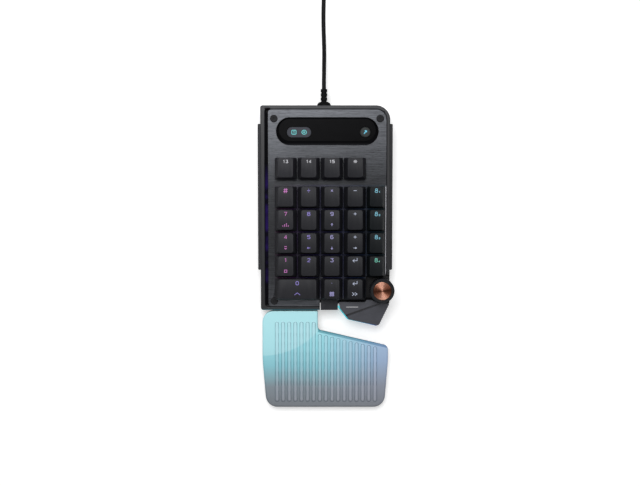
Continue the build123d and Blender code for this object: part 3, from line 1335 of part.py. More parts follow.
# Plug: moulded grip, metal shell and the tongue inside it
plug_plane = Plane(origin=plug_entry, x_dir=(0, -1, 0), z_dir=(-1, 0, 0))
with BuildPart() as cable_plug:
    with BuildSketch(plug_plane):
        RectangleRounded(PLUG_WIDTH, PLUG_THICKNESS, PLUG_EDGE)
    extrude(amount=PLUG_LENGTH)
    with BuildSketch(plug_plane.offset(PLUG_LENGTH)):
        Rectangle(PLUG_SHELL_WIDTH, PLUG_SHELL_THICKNESS)
        Rectangle(
            PLUG_SHELL_WIDTH - 2 * PLUG_SHELL_WALL, PLUG_SHELL_THICKNESS - 2 * PLUG_SHELL_WALL,
            mode=Mode.SUBTRACT,
        )
        with Locations((0, PLUG_SHELL_WALL - PLUG_SHELL_THICKNESS / 2 + PLUG_TONGUE / 2)):
            Rectangle(PLUG_SHELL_WIDTH - 4 * PLUG_SHELL_WALL, PLUG_TONGUE)
    extrude(amount=PLUG_SHELL_LENGTH)
export(cable_plug.part, "cable_plug")
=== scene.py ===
import json
import math

import bmesh
import bpy
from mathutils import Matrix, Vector
from mathutils.bvhtree import BVHTree
from mathutils.kdtree import KDTree


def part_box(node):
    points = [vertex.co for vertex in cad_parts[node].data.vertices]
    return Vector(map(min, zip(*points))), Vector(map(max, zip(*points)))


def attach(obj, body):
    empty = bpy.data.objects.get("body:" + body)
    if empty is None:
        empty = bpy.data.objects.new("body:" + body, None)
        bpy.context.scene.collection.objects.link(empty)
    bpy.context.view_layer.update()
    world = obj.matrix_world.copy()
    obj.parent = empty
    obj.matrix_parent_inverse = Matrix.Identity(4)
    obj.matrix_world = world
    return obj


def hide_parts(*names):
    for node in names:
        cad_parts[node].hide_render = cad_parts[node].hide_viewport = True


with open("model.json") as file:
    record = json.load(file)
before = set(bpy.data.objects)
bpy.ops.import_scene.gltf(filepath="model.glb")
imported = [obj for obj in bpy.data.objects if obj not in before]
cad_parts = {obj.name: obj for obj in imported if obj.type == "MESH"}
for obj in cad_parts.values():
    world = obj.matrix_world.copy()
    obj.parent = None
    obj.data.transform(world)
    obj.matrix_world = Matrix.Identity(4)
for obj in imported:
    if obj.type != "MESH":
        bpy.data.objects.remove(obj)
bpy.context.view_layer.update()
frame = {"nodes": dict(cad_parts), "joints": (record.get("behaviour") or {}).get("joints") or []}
nodes = frame["nodes"]
MM = 0.001

# Directions of the sloping deck, from the way the keys travel
press = next(joint for joint in frame["joints"] if joint["name"] == "key_5_press")
NORMAL = -Vector(press["axis"]).normalized()
ACROSS = Vector((1, 0, 0))
UPSLOPE = NORMAL.cross(ACROSS)


# Small helpers for objects and places
def add_object(name, data):
    """A new object in the scene."""
    piece = bpy.data.objects.new(name, data)
    bpy.context.scene.collection.objects.link(piece)
    return piece


def add_solid(name, mesh, material):
    """A new object from a drawn mesh, with its faces turned outwards."""
    bmesh.ops.recalc_face_normals(mesh, faces=mesh.faces)
    data = bpy.data.meshes.new(name)
    mesh.to_mesh(data)
    mesh.free()
    data.materials.append(material)
    return add_object(name, data)


def deck_corners(node):
    """Lowest and highest corner of a node, measured across, up the slope and square to the deck."""
    points = [(v.co.dot(ACROSS), v.co.dot(UPSLOPE), v.co.dot(NORMAL)) for v in nodes[node].data.vertices]
    return Vector(map(min, zip(*points))), Vector(map(max, zip(*points)))


def from_deck(across, upslope, height):
    """A place given in the deck's directions, in the frame of the whole object."""
    return ACROSS * across + UPSLOPE * upslope + NORMAL * height


# Camera straight above the keypad
CAMERA_PLACE = Vector((-4.35, 11.8, 763.0)) * MM
CAMERA_LENS = 50.0
CAMERA_SENSOR = 36.0
CAMERA_NEAR = 0.01


def make_camera():
    """The camera, which looks straight down."""
    data = bpy.data.cameras.new("camera")
    data.lens = CAMERA_LENS
    data.sensor_width = CAMERA_SENSOR
    data.clip_start = CAMERA_NEAR
    camera = add_object("camera", data)
    camera.location = CAMERA_PLACE
    bpy.context.scene.camera = camera
    bpy.context.scene.view_settings.view_transform = "Standard"


make_camera()

# The lead: its route on the desk and the coil of its put-away length, in millimetres
CABLE_DIAMETER = 3.5
CABLE_REST = 1.9
CABLE_X = -1.0
CABLE_ROUNDNESS = 4
CABLE_SMOOTHNESS = 6
ROUTE_LEAVE = 14.0
ROUTE_POINTS = [(-0.6, 176.0, 2.3), (-1.6, 202.0, 1.9), (-1.0, 226.0, 1.9)]
COIL_START_Y = 254.0
COIL_TURNS = 10.25
COIL_PITCH = 4.0
COIL_INNER = 10.6
COIL_OUTER = COIL_INNER + COIL_PITCH * COIL_TURNS / 2
COIL_LAYER = 4.0
COIL_MIDDLE = Vector((CABLE_X - COIL_OUTER, COIL_START_Y + CABLE_DIAMETER, 0))
COIL_POINTS_PER_TURN = 16
TAIL_LENGTH = 30.0
TAIL_SHARES = (0.35, 0.7, 1.0)
PLUG_HALF_THICKNESS = 4.3


def coil_point(angle):
    """A point of the coil's centre line in millimetres, by the angle wound from its start."""
    past_turn = angle - math.pi * COIL_TURNS
    radius = COIL_INNER + COIL_PITCH * abs(past_turn) / (2 * math.pi)
    climb = min(max(past_turn / math.pi + 0.5, 0), 1)
    height = CABLE_REST + COIL_LAYER * climb * climb * (3 - 2 * climb)
    return COIL_MIDDLE + Vector((radius * math.cos(angle), radius * math.sin(angle), height))


def cable_points():
    """The lead's control points from the strain relief to the plug, in metres."""
    relief_low, relief_high = deck_corners("strain_relief")
    middle = (relief_low + relief_high) / 2
    exit_point = from_deck(middle.x, relief_high.y, middle.z) / MM
    points = [exit_point, exit_point + UPSLOPE * ROUTE_LEAVE]
    points += [Vector(point) for point in ROUTE_POINTS]
    points.append(Vector((CABLE_X, COIL_START_Y, CABLE_REST)))
    count = round(COIL_TURNS * COIL_POINTS_PER_TURN)
    points += [coil_point(2 * math.pi * step / COIL_POINTS_PER_TURN) for step in range(count + 1)]
    last = points[-1]
    for share in TAIL_SHARES:
        height = last.z + (PLUG_HALF_THICKNESS - last.z) * share
        points.append(Vector((last.x - TAIL_LENGTH * share, last.y, height)))
    return [point * MM for point in points]


def make_cable():
    """The lead as one smooth line with a round section."""
    points = cable_points()
    curve = bpy.data.curves.new("cable", "CURVE")
    curve.dimensions = "3D"
    curve.bevel_depth = 1.0
    curve.bevel_resolution = CABLE_ROUNDNESS
    curve.resolution_u = CABLE_SMOOTHNESS
    curve.use_fill_caps = True
    spline = curve.splines.new("NURBS")
    spline.points.add(len(points) - 1)
    for slot, point in zip(spline.points, points):
        slot.co = (*point, 1.0)
        slot.radius = CABLE_DIAMETER / 2 * MM
    spline.order_u = 3
    spline.use_endpoint_u = True
    cable = add_object("cable", curve)
    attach(cable, "keypad")
    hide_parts("cable_lead", "cable_coil")
    return cable, points[0]


cable, cable_exit = make_cable()


# Small helpers for node materials
def feed(node, name, value):
    """Give a node's input a constant, or the output that feeds it."""
    if isinstance(value, bpy.types.NodeSocket):
        node.id_data.links.new(value, node.inputs[name])
    else:
        node.inputs[name].default_value = value


def new_material(name, colour, roughness, metallic=0.0):
    """A material with its shader's constant values set on the shader itself."""
    material = bpy.data.materials.new(name)
    material.use_nodes = True
    shader = material.node_tree.nodes["Principled BSDF"]
    feed(shader, "Base Color", (*colour, 1))
    feed(shader, "Roughness", roughness)
    feed(shader, "Metallic", metallic)
    return material, material.node_tree, shader


def add_node(tree, kind, links=None, **values):
    """A node with its settings, its inputs' constants or the outputs that feed them."""
    node = tree.nodes.new(kind)
    for name, value in values.items():
        setattr(node, name, value)
    for name, value in (links or {}).items():
        feed(node, name, value)
    return node


def number_math(tree, operation, *values):
    """A number worked out from others."""
    links = dict(enumerate(values))
    return add_node(tree, "ShaderNodeMath", links, operation=operation).outputs["Value"]


def vector_math(tree, operation, *values, gives="Vector"):
    """A vector worked out from others, or a number where it gives a value."""
    links = dict(enumerate(values))
    return add_node(tree, "ShaderNodeVectorMath", links, operation=operation).outputs[gives]


def own_place(tree):
    """The place in the object's own directions, in metres."""
    return add_node(tree, "ShaderNodeTexCoord").outputs["Object"]


def noise(tree, grains, detail=2.0, roughness=0.5):
    """Noise with so many grains per metre, all round or along X, Y and Z."""
    scale = grains if isinstance(grains, tuple) else (grains, grains, grains)
    scaled = add_node(tree, "ShaderNodeMapping", {"Vector": own_place(tree), "Scale": scale})
    texture = add_node(
        tree, "ShaderNodeTexNoise",
        {"Vector": scaled.outputs["Vector"], "Scale": 1.0, "Detail": detail, "Roughness": roughness},
    )
    return texture.outputs["Fac"]


def ramp(tree, value, stops):
    """Colours or greys that follow a value, from stops of place and colour."""
    node = add_node(tree, "ShaderNodeValToRGB", {"Fac": value})
    elements = node.color_ramp.elements
    while len(elements) < len(stops):
        elements.new(0.5)
    for element, (position, colour) in zip(elements, stops):
        element.position = position
        element.color = (*colour, 1)
    return node.outputs["Color"]


def grey(value):
    """A grey colour."""
    return (value, value, value)


def tone(red, green, blue):
    """A colour given as the eye reads it, 0 to 255, as the light that it stands for."""
    shares = [value / 255 for value in (red, green, blue)]
    return tuple(s / 12.92 if s < 0.04045 else ((s + 0.055) / 1.055) ** 2.4 for s in shares)


def spread(tree, value, low, high):
    """A value from 0 to 1 spread between two others."""
    node = add_node(tree, "ShaderNodeMapRange", {"Value": value, "To Min": low, "To Max": high})
    return node.outputs["Result"]


def between(tree, value, start, end):
    """0 at the start and 1 at the end, and straight between them."""
    node = add_node(tree, "ShaderNodeMapRange", {"Value": value, "From Min": start, "From Max": end})
    return node.outputs["Result"]


def fade(tree, axis, start, end):
    """0 at one place along an axis and 1 at another, in metres."""
    place = add_node(tree, "ShaderNodeSeparateXYZ", {"Vector": own_place(tree)})
    return between(tree, place.outputs[axis], start, end)


def area_mask(tree, limits):
    """1 inside limits, each with an axis, a place outside and a place inside."""
    first, *others = [fade(tree, *limit) for limit in limits]
    for other in others:
        first = number_math(tree, "MULTIPLY", first, other)
    return first


# Places of a colour mix's sockets
MIX_SHARE = 0
MIX_FIRST = 6
MIX_SECOND = 7
MIX_RESULT = 2


def mix(tree, share, first, second, blend="MIX"):
    """Two colours mixed by a share."""
    links = {MIX_SHARE: share, MIX_FIRST: first, MIX_SECOND: second}
    for socket in (MIX_FIRST, MIX_SECOND):
        if isinstance(links[socket], tuple):
            links[socket] = (*links[socket], 1)
    return add_node(tree, "ShaderNodeMix", links, data_type="RGBA", blend_type=blend).outputs[MIX_RESULT]


def multiplied(tree, first, second, share=1.0):
    """One colour multiplied by another, in full or by a share."""
    return mix(tree, share, first, second, "MULTIPLY")


def bump(tree, shader, height, strength, depth):
    """Relief on a shader's normal, with its depth in millimetres."""
    node = add_node(
        tree, "ShaderNodeBump", {"Height": height, "Strength": strength, "Distance": depth * MM}
    )
    feed(shader, "Normal", node.outputs["Normal"])


# Plastic: grains per metre of its uneven colour, and how far colour and gloss vary
PLASTIC_CLOUDS = 160
PLASTIC_UNEVEN = 0.1
PLASTIC_GLOSS_SPREAD = 0.07
PLASTIC_GRAIN_DEPTH = 0.05


def moulded(name, colour, roughness, gloss=0.35, grain=4200.0, relief=0.12):
    """Moulded plastic with a fine grain and an uneven gloss: its material, nodes, shader and shade."""
    material, tree, shader = new_material(name, colour, roughness)
    feed(shader, "Specular IOR Level", gloss)
    fine = noise(tree, grain, 3.0)
    dark = tuple(c * (1 - PLASTIC_UNEVEN) for c in colour)
    light = tuple(c * (1 + PLASTIC_UNEVEN) for c in colour)
    shade = ramp(tree, noise(tree, PLASTIC_CLOUDS), [(0.3, dark), (0.7, light)])
    feed(shader, "Base Color", shade)
    uneven = spread(tree, fine, roughness - PLASTIC_GLOSS_SPREAD, roughness + PLASTIC_GLOSS_SPREAD)
    feed(shader, "Roughness", uneven)
    bump(tree, shader, fine, relief, PLASTIC_GRAIN_DEPTH)
    return material, tree, shader, shade


def plastic(*values, **options):
    """Moulded plastic of one colour."""
    return moulded(*values, **options)[0]


# Share of the colour in a metal's scratches and in the dim places of a lit sign
METAL_DARK = 0.75
GLOW_DIM = 0.8


def metal(name, colour, roughness):
    """Plain metal with fine scratches and an uneven gloss."""
    material, tree, shader = new_material(name, colour, roughness, 1.0)
    scratches = noise(tree, (900, 2600, 900), 4.0, 0.6)
    dark = tuple(c * METAL_DARK for c in colour)
    feed(shader, "Base Color", ramp(tree, scratches, [(0.3, dark), (0.7, colour)]))
    feed(shader, "Roughness", spread(tree, scratches, roughness - 0.08, roughness + 0.1))
    bump(tree, shader, scratches, 0.1, 0.02)
    return material


def glow(name, colour, strength, base=(0.02, 0.02, 0.025)):
    """A lit sign with a slightly cloudy brightness."""
    material, tree, shader = new_material(name, base, 0.4)
    dim = tuple(c * GLOW_DIM for c in colour)
    cloudy = ramp(tree, noise(tree, 600), [(0.3, dim), (0.7, colour)])
    feed(shader, "Emission Color", cloudy)
    feed(shader, "Emission Strength", strength)
    return material


# Floor and light, in metres and watts
FLOOR_HALF = 0.36
FLOOR_GLOW = 0.4
WORLD_LIGHT = 0.3
LAMP_TARGET = Vector((0, 0.02, 0))
LAMPS = {
    "lamp_rear": ((-0.1, 0.32, 0.85), (0.6, 0.45), 5.6, (1, 1, 1)),
    "lamp_right": ((0.9, 0.1, 0.7), (0.6, 1.0), 0.7, (0.94, 0.95, 1.0)),
    "lamp_front": ((0.05, -0.42, 0.9), (0.5, 0.3), 0.9, (1, 1, 1)),
    "lamp_edge": ((0.0, 1.2, 0.28), (1.4, 0.3), 1.0, (0.82, 0.8, 1.0)),
}


def make_floor():
    """A pale floor that the camera sees as white, with the object's shadow on it."""
    mesh = bpy.data.meshes.new("floor")
    corners = [(-1, -1), (1, -1), (1, 1), (-1, 1)]
    mesh.from_pydata([(x * FLOOR_HALF, y * FLOOR_HALF, 0) for x, y in corners], [], [(0, 1, 2, 3)])
    material, tree, shader = new_material("floor", grey(0.82), 0.9)
    path = add_node(tree, "ShaderNodeLightPath")
    seen = number_math(tree, "MULTIPLY", path.outputs["Is Camera Ray"], FLOOR_GLOW)
    feed(shader, "Emission Color", (1, 1, 1, 1))
    feed(shader, "Emission Strength", seen)
    mesh.materials.append(material)
    add_object("floor", mesh)


def make_lamp(name, place, size, power, colour):
    """A soft box turned to the object."""
    data = bpy.data.lights.new(name, "AREA")
    data.shape = "RECTANGLE"
    data.size, data.size_y = size
    data.energy = power
    data.color = colour
    lamp = add_object(name, data)
    lamp.location = place
    lamp.rotation_euler = (LAMP_TARGET - Vector(place)).to_track_quat("-Z", "Y").to_euler()


def make_world():
    """Even pale light from all round, seen as white."""
    world = bpy.data.worlds.new("studio")
    bpy.context.scene.world = world
    world.use_nodes = True
    tree = world.node_tree
    background = tree.nodes["Background"]
    feed(background, "Color", (1, 1, 1, 1))
    path = add_node(tree, "ShaderNodeLightPath")
    strength = spread(tree, path.outputs["Is Camera Ray"], WORLD_LIGHT, 1.0)
    feed(background, "Strength", strength)


make_floor()
make_world()
for lamp_name, lamp_values in LAMPS.items():
    make_lamp(lamp_name, *lamp_values)

# The deck's landmarks, from the frame
keys = sorted(name for name in nodes if name.startswith("key_"))
key_corners = {name: deck_corners(name) for name in keys}
field_low = Vector(map(min, zip(*(low for low, _ in key_corners.values()))))
field_high = Vector(map(max, zip(*(high for _, high in key_corners.values()))))
plate_low, plate_high = deck_corners("top_plate")
palm_low, palm_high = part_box("palm_pad")

# Plate: the reach of the keys' light round them and the painted highlight on its edge at the right, in
# millimetres
SPILL_REACH = 0.6
EDGE_HIGHLIGHT_WIDTH = 0.5
EDGE_HIGHLIGHT_FADE = 0.05
EDGE_HIGHLIGHT_ENDS = 2.0

# Colours of the backlight from the left column of keys to the right one
BACKLIGHT = [
    (0.0, tone(214, 70, 190)), (0.3, tone(120, 90, 235)), (0.55, tone(120, 120, 240)),
    (0.8, tone(90, 140, 230)), (1.0, tone(60, 180, 200)),
]


def spill_mask(tree):
    """1 round the rows of number keys, falling to 0 a little outside them."""
    reach = SPILL_REACH * MM
    rear = key_corners["key_lock"][1].y
    return area_mask(
        tree,
        (
            ("X", field_low.x - reach, field_low.x), ("X", field_high.x + reach, field_high.x),
            ("Y", field_low.y - reach, field_low.y), ("Y", rear + reach, rear),
        ),
    )


def edge_highlight_mask(tree):
    """1 on the plate's edge beside the last column of keys, where a highlight is painted."""
    front = key_corners["key_macro_4"][0].y
    rear = key_corners["key_macro_1"][1].y
    start = plate_high.x - EDGE_HIGHLIGHT_WIDTH * MM
    return area_mask(
        tree,
        (
            ("X", start - EDGE_HIGHLIGHT_FADE * MM, start),
            ("Y", front, front + EDGE_HIGHLIGHT_ENDS * MM), ("Y", rear, rear - EDGE_HIGHLIGHT_ENDS * MM),
        ),
    )


def brushed_plate():
    """Dark metal brushed across, with short scratches, painted shade through its middle, a painted highlight
    on its right edge and the keys' light spilt round them.
    """
    material, tree, shader = new_material("brushed_plate", grey(0.2), 0.42, 0.75)
    long_grain = noise(tree, (70, 1500, 1500), 4.0, 0.6)
    short_grain = noise(tree, (240, 2600, 2600), 3.0, 0.7)
    brushed = ramp(
        tree, long_grain, [(0.3, tone(66, 68, 72)), (0.52, tone(86, 88, 93)), (0.75, tone(102, 104, 109))]
    )
    scratched = ramp(tree, short_grain, [(0.32, grey(0.18)), (0.46, grey(0.9)), (0.7, grey(1.0))])
    clouds = ramp(tree, noise(tree, (22, 30, 30)), [(0.3, grey(0.7)), (0.7, grey(1.0))])
    # Painted shade: the plate is darker through its middle and paler towards its front and rear
    depth = ramp(
        tree, fade(tree, "Y", plate_low.y, plate_high.y),
        [(0.0, grey(0.85)), (0.16, grey(0.4)), (0.4, grey(0.28)), (0.62, grey(0.36)), (0.82, grey(0.72)),
         (1.0, grey(0.82))],
    )
    worn = multiplied(tree, brushed, scratched, 0.75)
    cloudy = multiplied(tree, worn, clouds, 0.35)
    shaded = multiplied(tree, cloudy, depth)
    # Painted highlight: a pale strip along the plate's right edge
    edge_lit = mix(tree, edge_highlight_mask(tree), shaded, tone(190, 190, 196))
    feed(shader, "Base Color", edge_lit)
    feed(shader, "Roughness", spread(tree, long_grain, 0.27, 0.4))
    bump(tree, shader, short_grain, 0.3, 0.03)
    colour = ramp(tree, fade(tree, "X", field_low.x, field_high.x), BACKLIGHT)
    patches = ramp(tree, noise(tree, 60, 1.0), [(0.35, grey(0.2)), (0.7, grey(1.0))])
    spilt = mix(tree, spill_mask(tree), (0, 0, 0), multiplied(tree, colour, patches))
    feed(shader, "Emission Color", spilt)
    feed(shader, "Emission Strength", 0.022)
    return material


# The way in which the disc's painted sheen is brightest, and the number of its spun rings per metre
DISC_SHEEN = Vector((-0.1, 1.0, 0.0)).normalized()
DISC_RINGS = 9000.0


def copper_disc():
    """Spun copper: fine rings round the middle, a stretched gloss, and a sheen painted into its colour that
    runs across the rings like a bow tie.
    """
    low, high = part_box("knob_disc")
    middle = (Vector(low) + Vector(high)) / 2
    material, tree, shader = new_material("copper_disc", tone(216, 150, 124), 0.26, 1.0)
    offset = vector_math(tree, "SUBTRACT", own_place(tree), middle)
    radius = vector_math(tree, "LENGTH", offset, gives="Value")
    rings = add_node(
        tree, "ShaderNodeTexNoise", {"W": radius, "Scale": DISC_RINGS, "Detail": 3.0}, noise_dimensions="1D"
    ).outputs["Fac"]
    shade = ramp(tree, rings, [(0.3, tone(176, 124, 104)), (0.7, tone(202, 152, 132))])
    heading = vector_math(tree, "NORMALIZE", vector_math(tree, "MULTIPLY", offset, (1, 1, 0)))
    along = vector_math(tree, "DOT_PRODUCT", heading, DISC_SHEEN, gives="Value")
    # Painted sheen: the colour is paler along DISC_SHEEN and darker across it, and it turns with the disc
    sheen = ramp(
        tree, number_math(tree, "ABSOLUTE", along),
        [(0.0, tone(120, 96, 84)), (0.3, tone(168, 146, 134)), (0.75, tone(192, 172, 162)),
         (0.97, grey(0.8))],
    )
    feed(shader, "Base Color", multiplied(tree, shade, sheen))
    bump(tree, shader, rings, 0.2, 0.02)
    feed(shader, "Anisotropic", 1.0)
    feed(shader, "Anisotropic Rotation", 0.25)
    tangent = add_node(tree, "ShaderNodeTangent", direction_type="RADIAL", axis="Z")
    feed(shader, "Tangent", tangent.outputs["Tangent"])
    return material


def light_bar():
    """A dark diffuser lit in patches along its length."""
    material, tree, shader = new_material("light_bar", tone(9, 9, 12), 0.6)
    feed(shader, "Specular IOR Level", 0.02)
    lit_length = ramp(
        tree, fade(tree, "Y", field_low.y, field_high.y),
        [(0.0, grey(0.0)), (0.18, grey(1.0)), (0.72, grey(1.0)), (0.95, grey(0.0))],
    )
    patches = ramp(tree, noise(tree, (30, 95, 30), 1.0), [(0.42, grey(0.05)), (0.62, grey(1.0))])
    colour = ramp(
        tree, noise(tree, (20, 40, 20), 0.0), [(0.35, tone(70, 40, 150)), (0.65, tone(96, 60, 200))]
    )
    lit = multiplied(tree, lit_length, patches)
    feed(shader, "Emission Color", multiplied(tree, lit, colour))
    feed(shader, "Emission Strength", 0.16)
    return material


def light_strip():
    """A strip that goes from cyan to blue, with a brighter spot over each of its light sources."""
    material, tree, shader = new_material("light_strip", tone(20, 60, 70), 0.5)
    feed(shader, "Specular IOR Level", 0.1)
    low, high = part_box("thumb_light_strip")
    colour = ramp(
        tree, fade(tree, "X", low[0], high[0]),
        [(0.0, tone(104, 214, 224)), (0.35, tone(58, 176, 196)), (0.75, tone(56, 130, 180)),
         (1.0, tone(70, 84, 160))],
    )
    spots = ramp(tree, noise(tree, 140, 1.0), [(0.35, grey(0.6)), (0.65, grey(1.0))])
    feed(shader, "Emission Color", multiplied(tree, colour, spots))
    feed(shader, "Emission Strength", 1.0)
    return material


# Width over which the corner base turns from the painted shade of its well to its paler lip, in millimetres
LIP_FADE = 0.4


def base_plastic():
    """Black plastic of the corner base, a little paler on its raised lip, and darker in its well as painted
    shade.
    """
    material, tree, shader, _ = moulded("base_plastic", tone(30, 30, 34), 0.5, gloss=0.2)
    lip_right = deck_corners("thumb_key")[0].x
    lip = fade(tree, "X", lip_right, lip_right - LIP_FADE * MM)
    clouds = noise(tree, PLASTIC_CLOUDS)
    # Painted shade: the well away from the lip is darker
    dark = ramp(tree, clouds, [(0.3, tone(12, 12, 15)), (0.7, tone(16, 16, 19))])
    pale = ramp(tree, clouds, [(0.3, tone(38, 38, 43)), (0.7, tone(46, 46, 51))])
    feed(shader, "Base Color", mix(tree, lip, dark, pale))
    return material


# The paddle's crease, in millimetres as seen from above: its ends, and the reach of its painted shade to
# either side
CREASE_START = Vector((18.0, -48.8, 0.0))
CREASE_END = Vector((44.0, -39.5, 0.0))
CREASE_SHADE_REACH = 0.45
CREASE_SHADE_FADE = 1.2


def paddle_plastic():
    """Dark grey plastic, with painted shade along the crease between the two facets."""
    material, tree, shader, shade = moulded("paddle_plastic", tone(64, 65, 72), 0.42)
    along = (CREASE_END - CREASE_START).normalized()
    square = Vector((-along.y, along.x, 0))
    offset = vector_math(tree, "SUBTRACT", own_place(tree), CREASE_START * MM)
    beside = vector_math(tree, "DOT_PRODUCT", offset, square, gives="Value")
    # Painted shade: the crease is darkest at its left end and fades towards its right
    crease_shadow = between(tree, number_math(tree, "ABSOLUTE", beside), CREASE_SHADE_FADE * MM, CREASE_SHADE_REACH * MM)
    depth = ramp(
        tree, fade(tree, "X", CREASE_START.x * MM, CREASE_END.x * MM),
        [(0.0, grey(0.85)), (0.7, grey(0.7)), (1.0, grey(0.35))],
    )
    crease_shaded = mix(tree, multiplied(tree, crease_shadow, depth), shade, tone(16, 16, 19))
    feed(shader, "Base Color", crease_shaded)
    return material


# The frame's groove beside the light bar, where shade is painted, and the painted light on its front edge, in
# millimetres
GROOVE_MARGIN = 0.2
GROOVE_UNDER_PLATE = 1.9
GROOVE_FADE = 0.1
EDGE_LIGHT_DEPTH = 0.6
EDGE_LIGHT_DEPTH_END = 1.1
EDGE_LIGHT_DROP = 0.3
EDGE_LIGHT_DROP_END = 0.9


def groove_shade_mask(tree):
    """1 in the groove between the light bar and the plate, where shade is painted."""
    left = deck_corners("light_bar")[0].x - GROOVE_MARGIN * MM
    right = plate_low.x + GROOVE_UNDER_PLATE * MM
    margin = GROOVE_MARGIN * MM
    return area_mask(
        tree,
        (
            ("X", left - GROOVE_FADE * MM, left), ("X", right + GROOVE_FADE * MM, right),
            ("Y", plate_low.y - margin, plate_low.y), ("Y", plate_high.y + margin, plate_high.y),
        ),
    )


def frame_plastic():
    """Dark grey plastic, with painted shade making it black and dull in its groove and darker towards the
    front, and painted cyan light on its upper front edge.
    """
    material, tree, shader, shade = moulded("frame_plastic", tone(42, 43, 47), 0.42)
    groove = groove_shade_mask(tree)
    # Painted shade: the frame is darker towards the front, and has its full colour only at its rear
    depth = ramp(
        tree, fade(tree, "Y", plate_low.y, plate_high.y),
        [(0.0, grey(0.5)), (0.85, grey(0.55)), (1.0, grey(1.0))],
    )
    shaded = multiplied(tree, shade, depth)
    # Painted shade: the groove is near black, and its gloss is taken down
    feed(shader, "Base Color", mix(tree, groove, shaded, tone(6, 6, 8)))
    gloss = ramp(tree, groove, [(0.0, grey(0.35)), (1.0, grey(0.05))])
    feed(shader, "Specular IOR Level", gloss)
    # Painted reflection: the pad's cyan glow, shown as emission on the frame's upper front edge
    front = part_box("upper_frame")[0][1]
    top = deck_corners("upper_frame")[1].z
    height = vector_math(tree, "DOT_PRODUCT", own_place(tree), NORMAL, gives="Value")
    near = fade(tree, "Y", front + EDGE_LIGHT_DEPTH_END * MM, front + EDGE_LIGHT_DEPTH * MM)
    upper = between(tree, height, top - EDGE_LIGHT_DROP_END * MM, top - EDGE_LIGHT_DROP * MM)
    edge = number_math(tree, "MULTIPLY", near, upper)
    feed(shader, "Emission Color", mix(tree, edge, (0, 0, 0), tone(30, 110, 125)))
    feed(shader, "Emission Strength", 0.4)
    return material


def key_plastic(name, left, right, gloss):
    """Plastic of the key caps, with painted shade making it darker towards the right and the front of the
    field of keys.
    """
    material, tree, shader, _ = moulded(name, left, 0.5, gloss=gloss, relief=0.1)
    # Painted shade: the caps grow darker from left to right
    shade = ramp(tree, fade(tree, "X", field_low.x, field_high.x), [(0.0, left), (1.0, right)])
    # Painted shade: the caps grow darker towards the front
    depth = ramp(
        tree, fade(tree, "Y", field_low.y, field_high.y),
        [(0.0, grey(0.75)), (0.7, grey(0.85)), (1.0, grey(1.0))],
    )
    clouds = ramp(tree, noise(tree, PLASTIC_CLOUDS), [(0.3, grey(0.86)), (0.7, grey(1.0))])
    shaded = multiplied(tree, shade, depth)
    feed(shader, "Base Color", multiplied(tree, shaded, clouds))
    return material


# The panel's slope, in millimetres from its front, where light is painted: fully pale, and no longer paler
PANEL_SLOPE = 1.0
PANEL_SLOPE_END = 3.2


def panel_plastic():
    """Glossy black plastic of the panel, with painted light making the slope at its front paler."""
    material, tree, shader, shade = moulded("panel_plastic", tone(9, 9, 11), 0.3, gloss=0.03, relief=0.02)
    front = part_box("status_panel")[0][1]
    # Painted light: the slope at the panel's front is paler, as though lit
    slope = fade(tree, "Y", front + PANEL_SLOPE_END * MM, front + PANEL_SLOPE * MM)
    feed(shader, "Base Color", mix(tree, slope, shade, tone(36, 37, 40)))
    return material


def board_laminate():
    """Dark circuit board with a faint pattern of tracks."""
    material, tree, shader = new_material("board_laminate", tone(20, 40, 34), 0.4)
    tracks = add_node(
        tree, "ShaderNodeTexBrick",
        {"Vector": own_place(tree), "Scale": 260.0, "Color1": (*tone(16, 38, 32), 1),
         "Color2": (*tone(20, 46, 38), 1), "Mortar": (*tone(44, 84, 66), 1), "Mortar Size": 0.012},
    )
    feed(shader, "Base Color", tracks.outputs["Color"])
    feed(shader, "Roughness", spread(tree, noise(tree, 800), 0.32, 0.5))
    return material


# Palm rest: slanted rear edge and its band of painted light, the painted sheen patch and the painted shade
# lines at the rib feet, in millimetres on the desk
SLANT_START = Vector((-6.2, -61.4, 0.0))
SLANT_END = Vector((53.3, -75.1, 0.0))
BAND_WIDTH = 1.5
BAND_FADE = 0.8
BAND_OUTSIDE = 0.4
BAND_INSIDE = 0.6
SHEEN_PATCH_MIDDLE = Vector((-53.3, -19.4, 0.0))
SHEEN_PATCH_RADIUS = 64.1
SHEEN_PATCH_SOFTNESS = 0.6
FOOT_LINE = 0.15
FOOT_LINE_END = 0.6


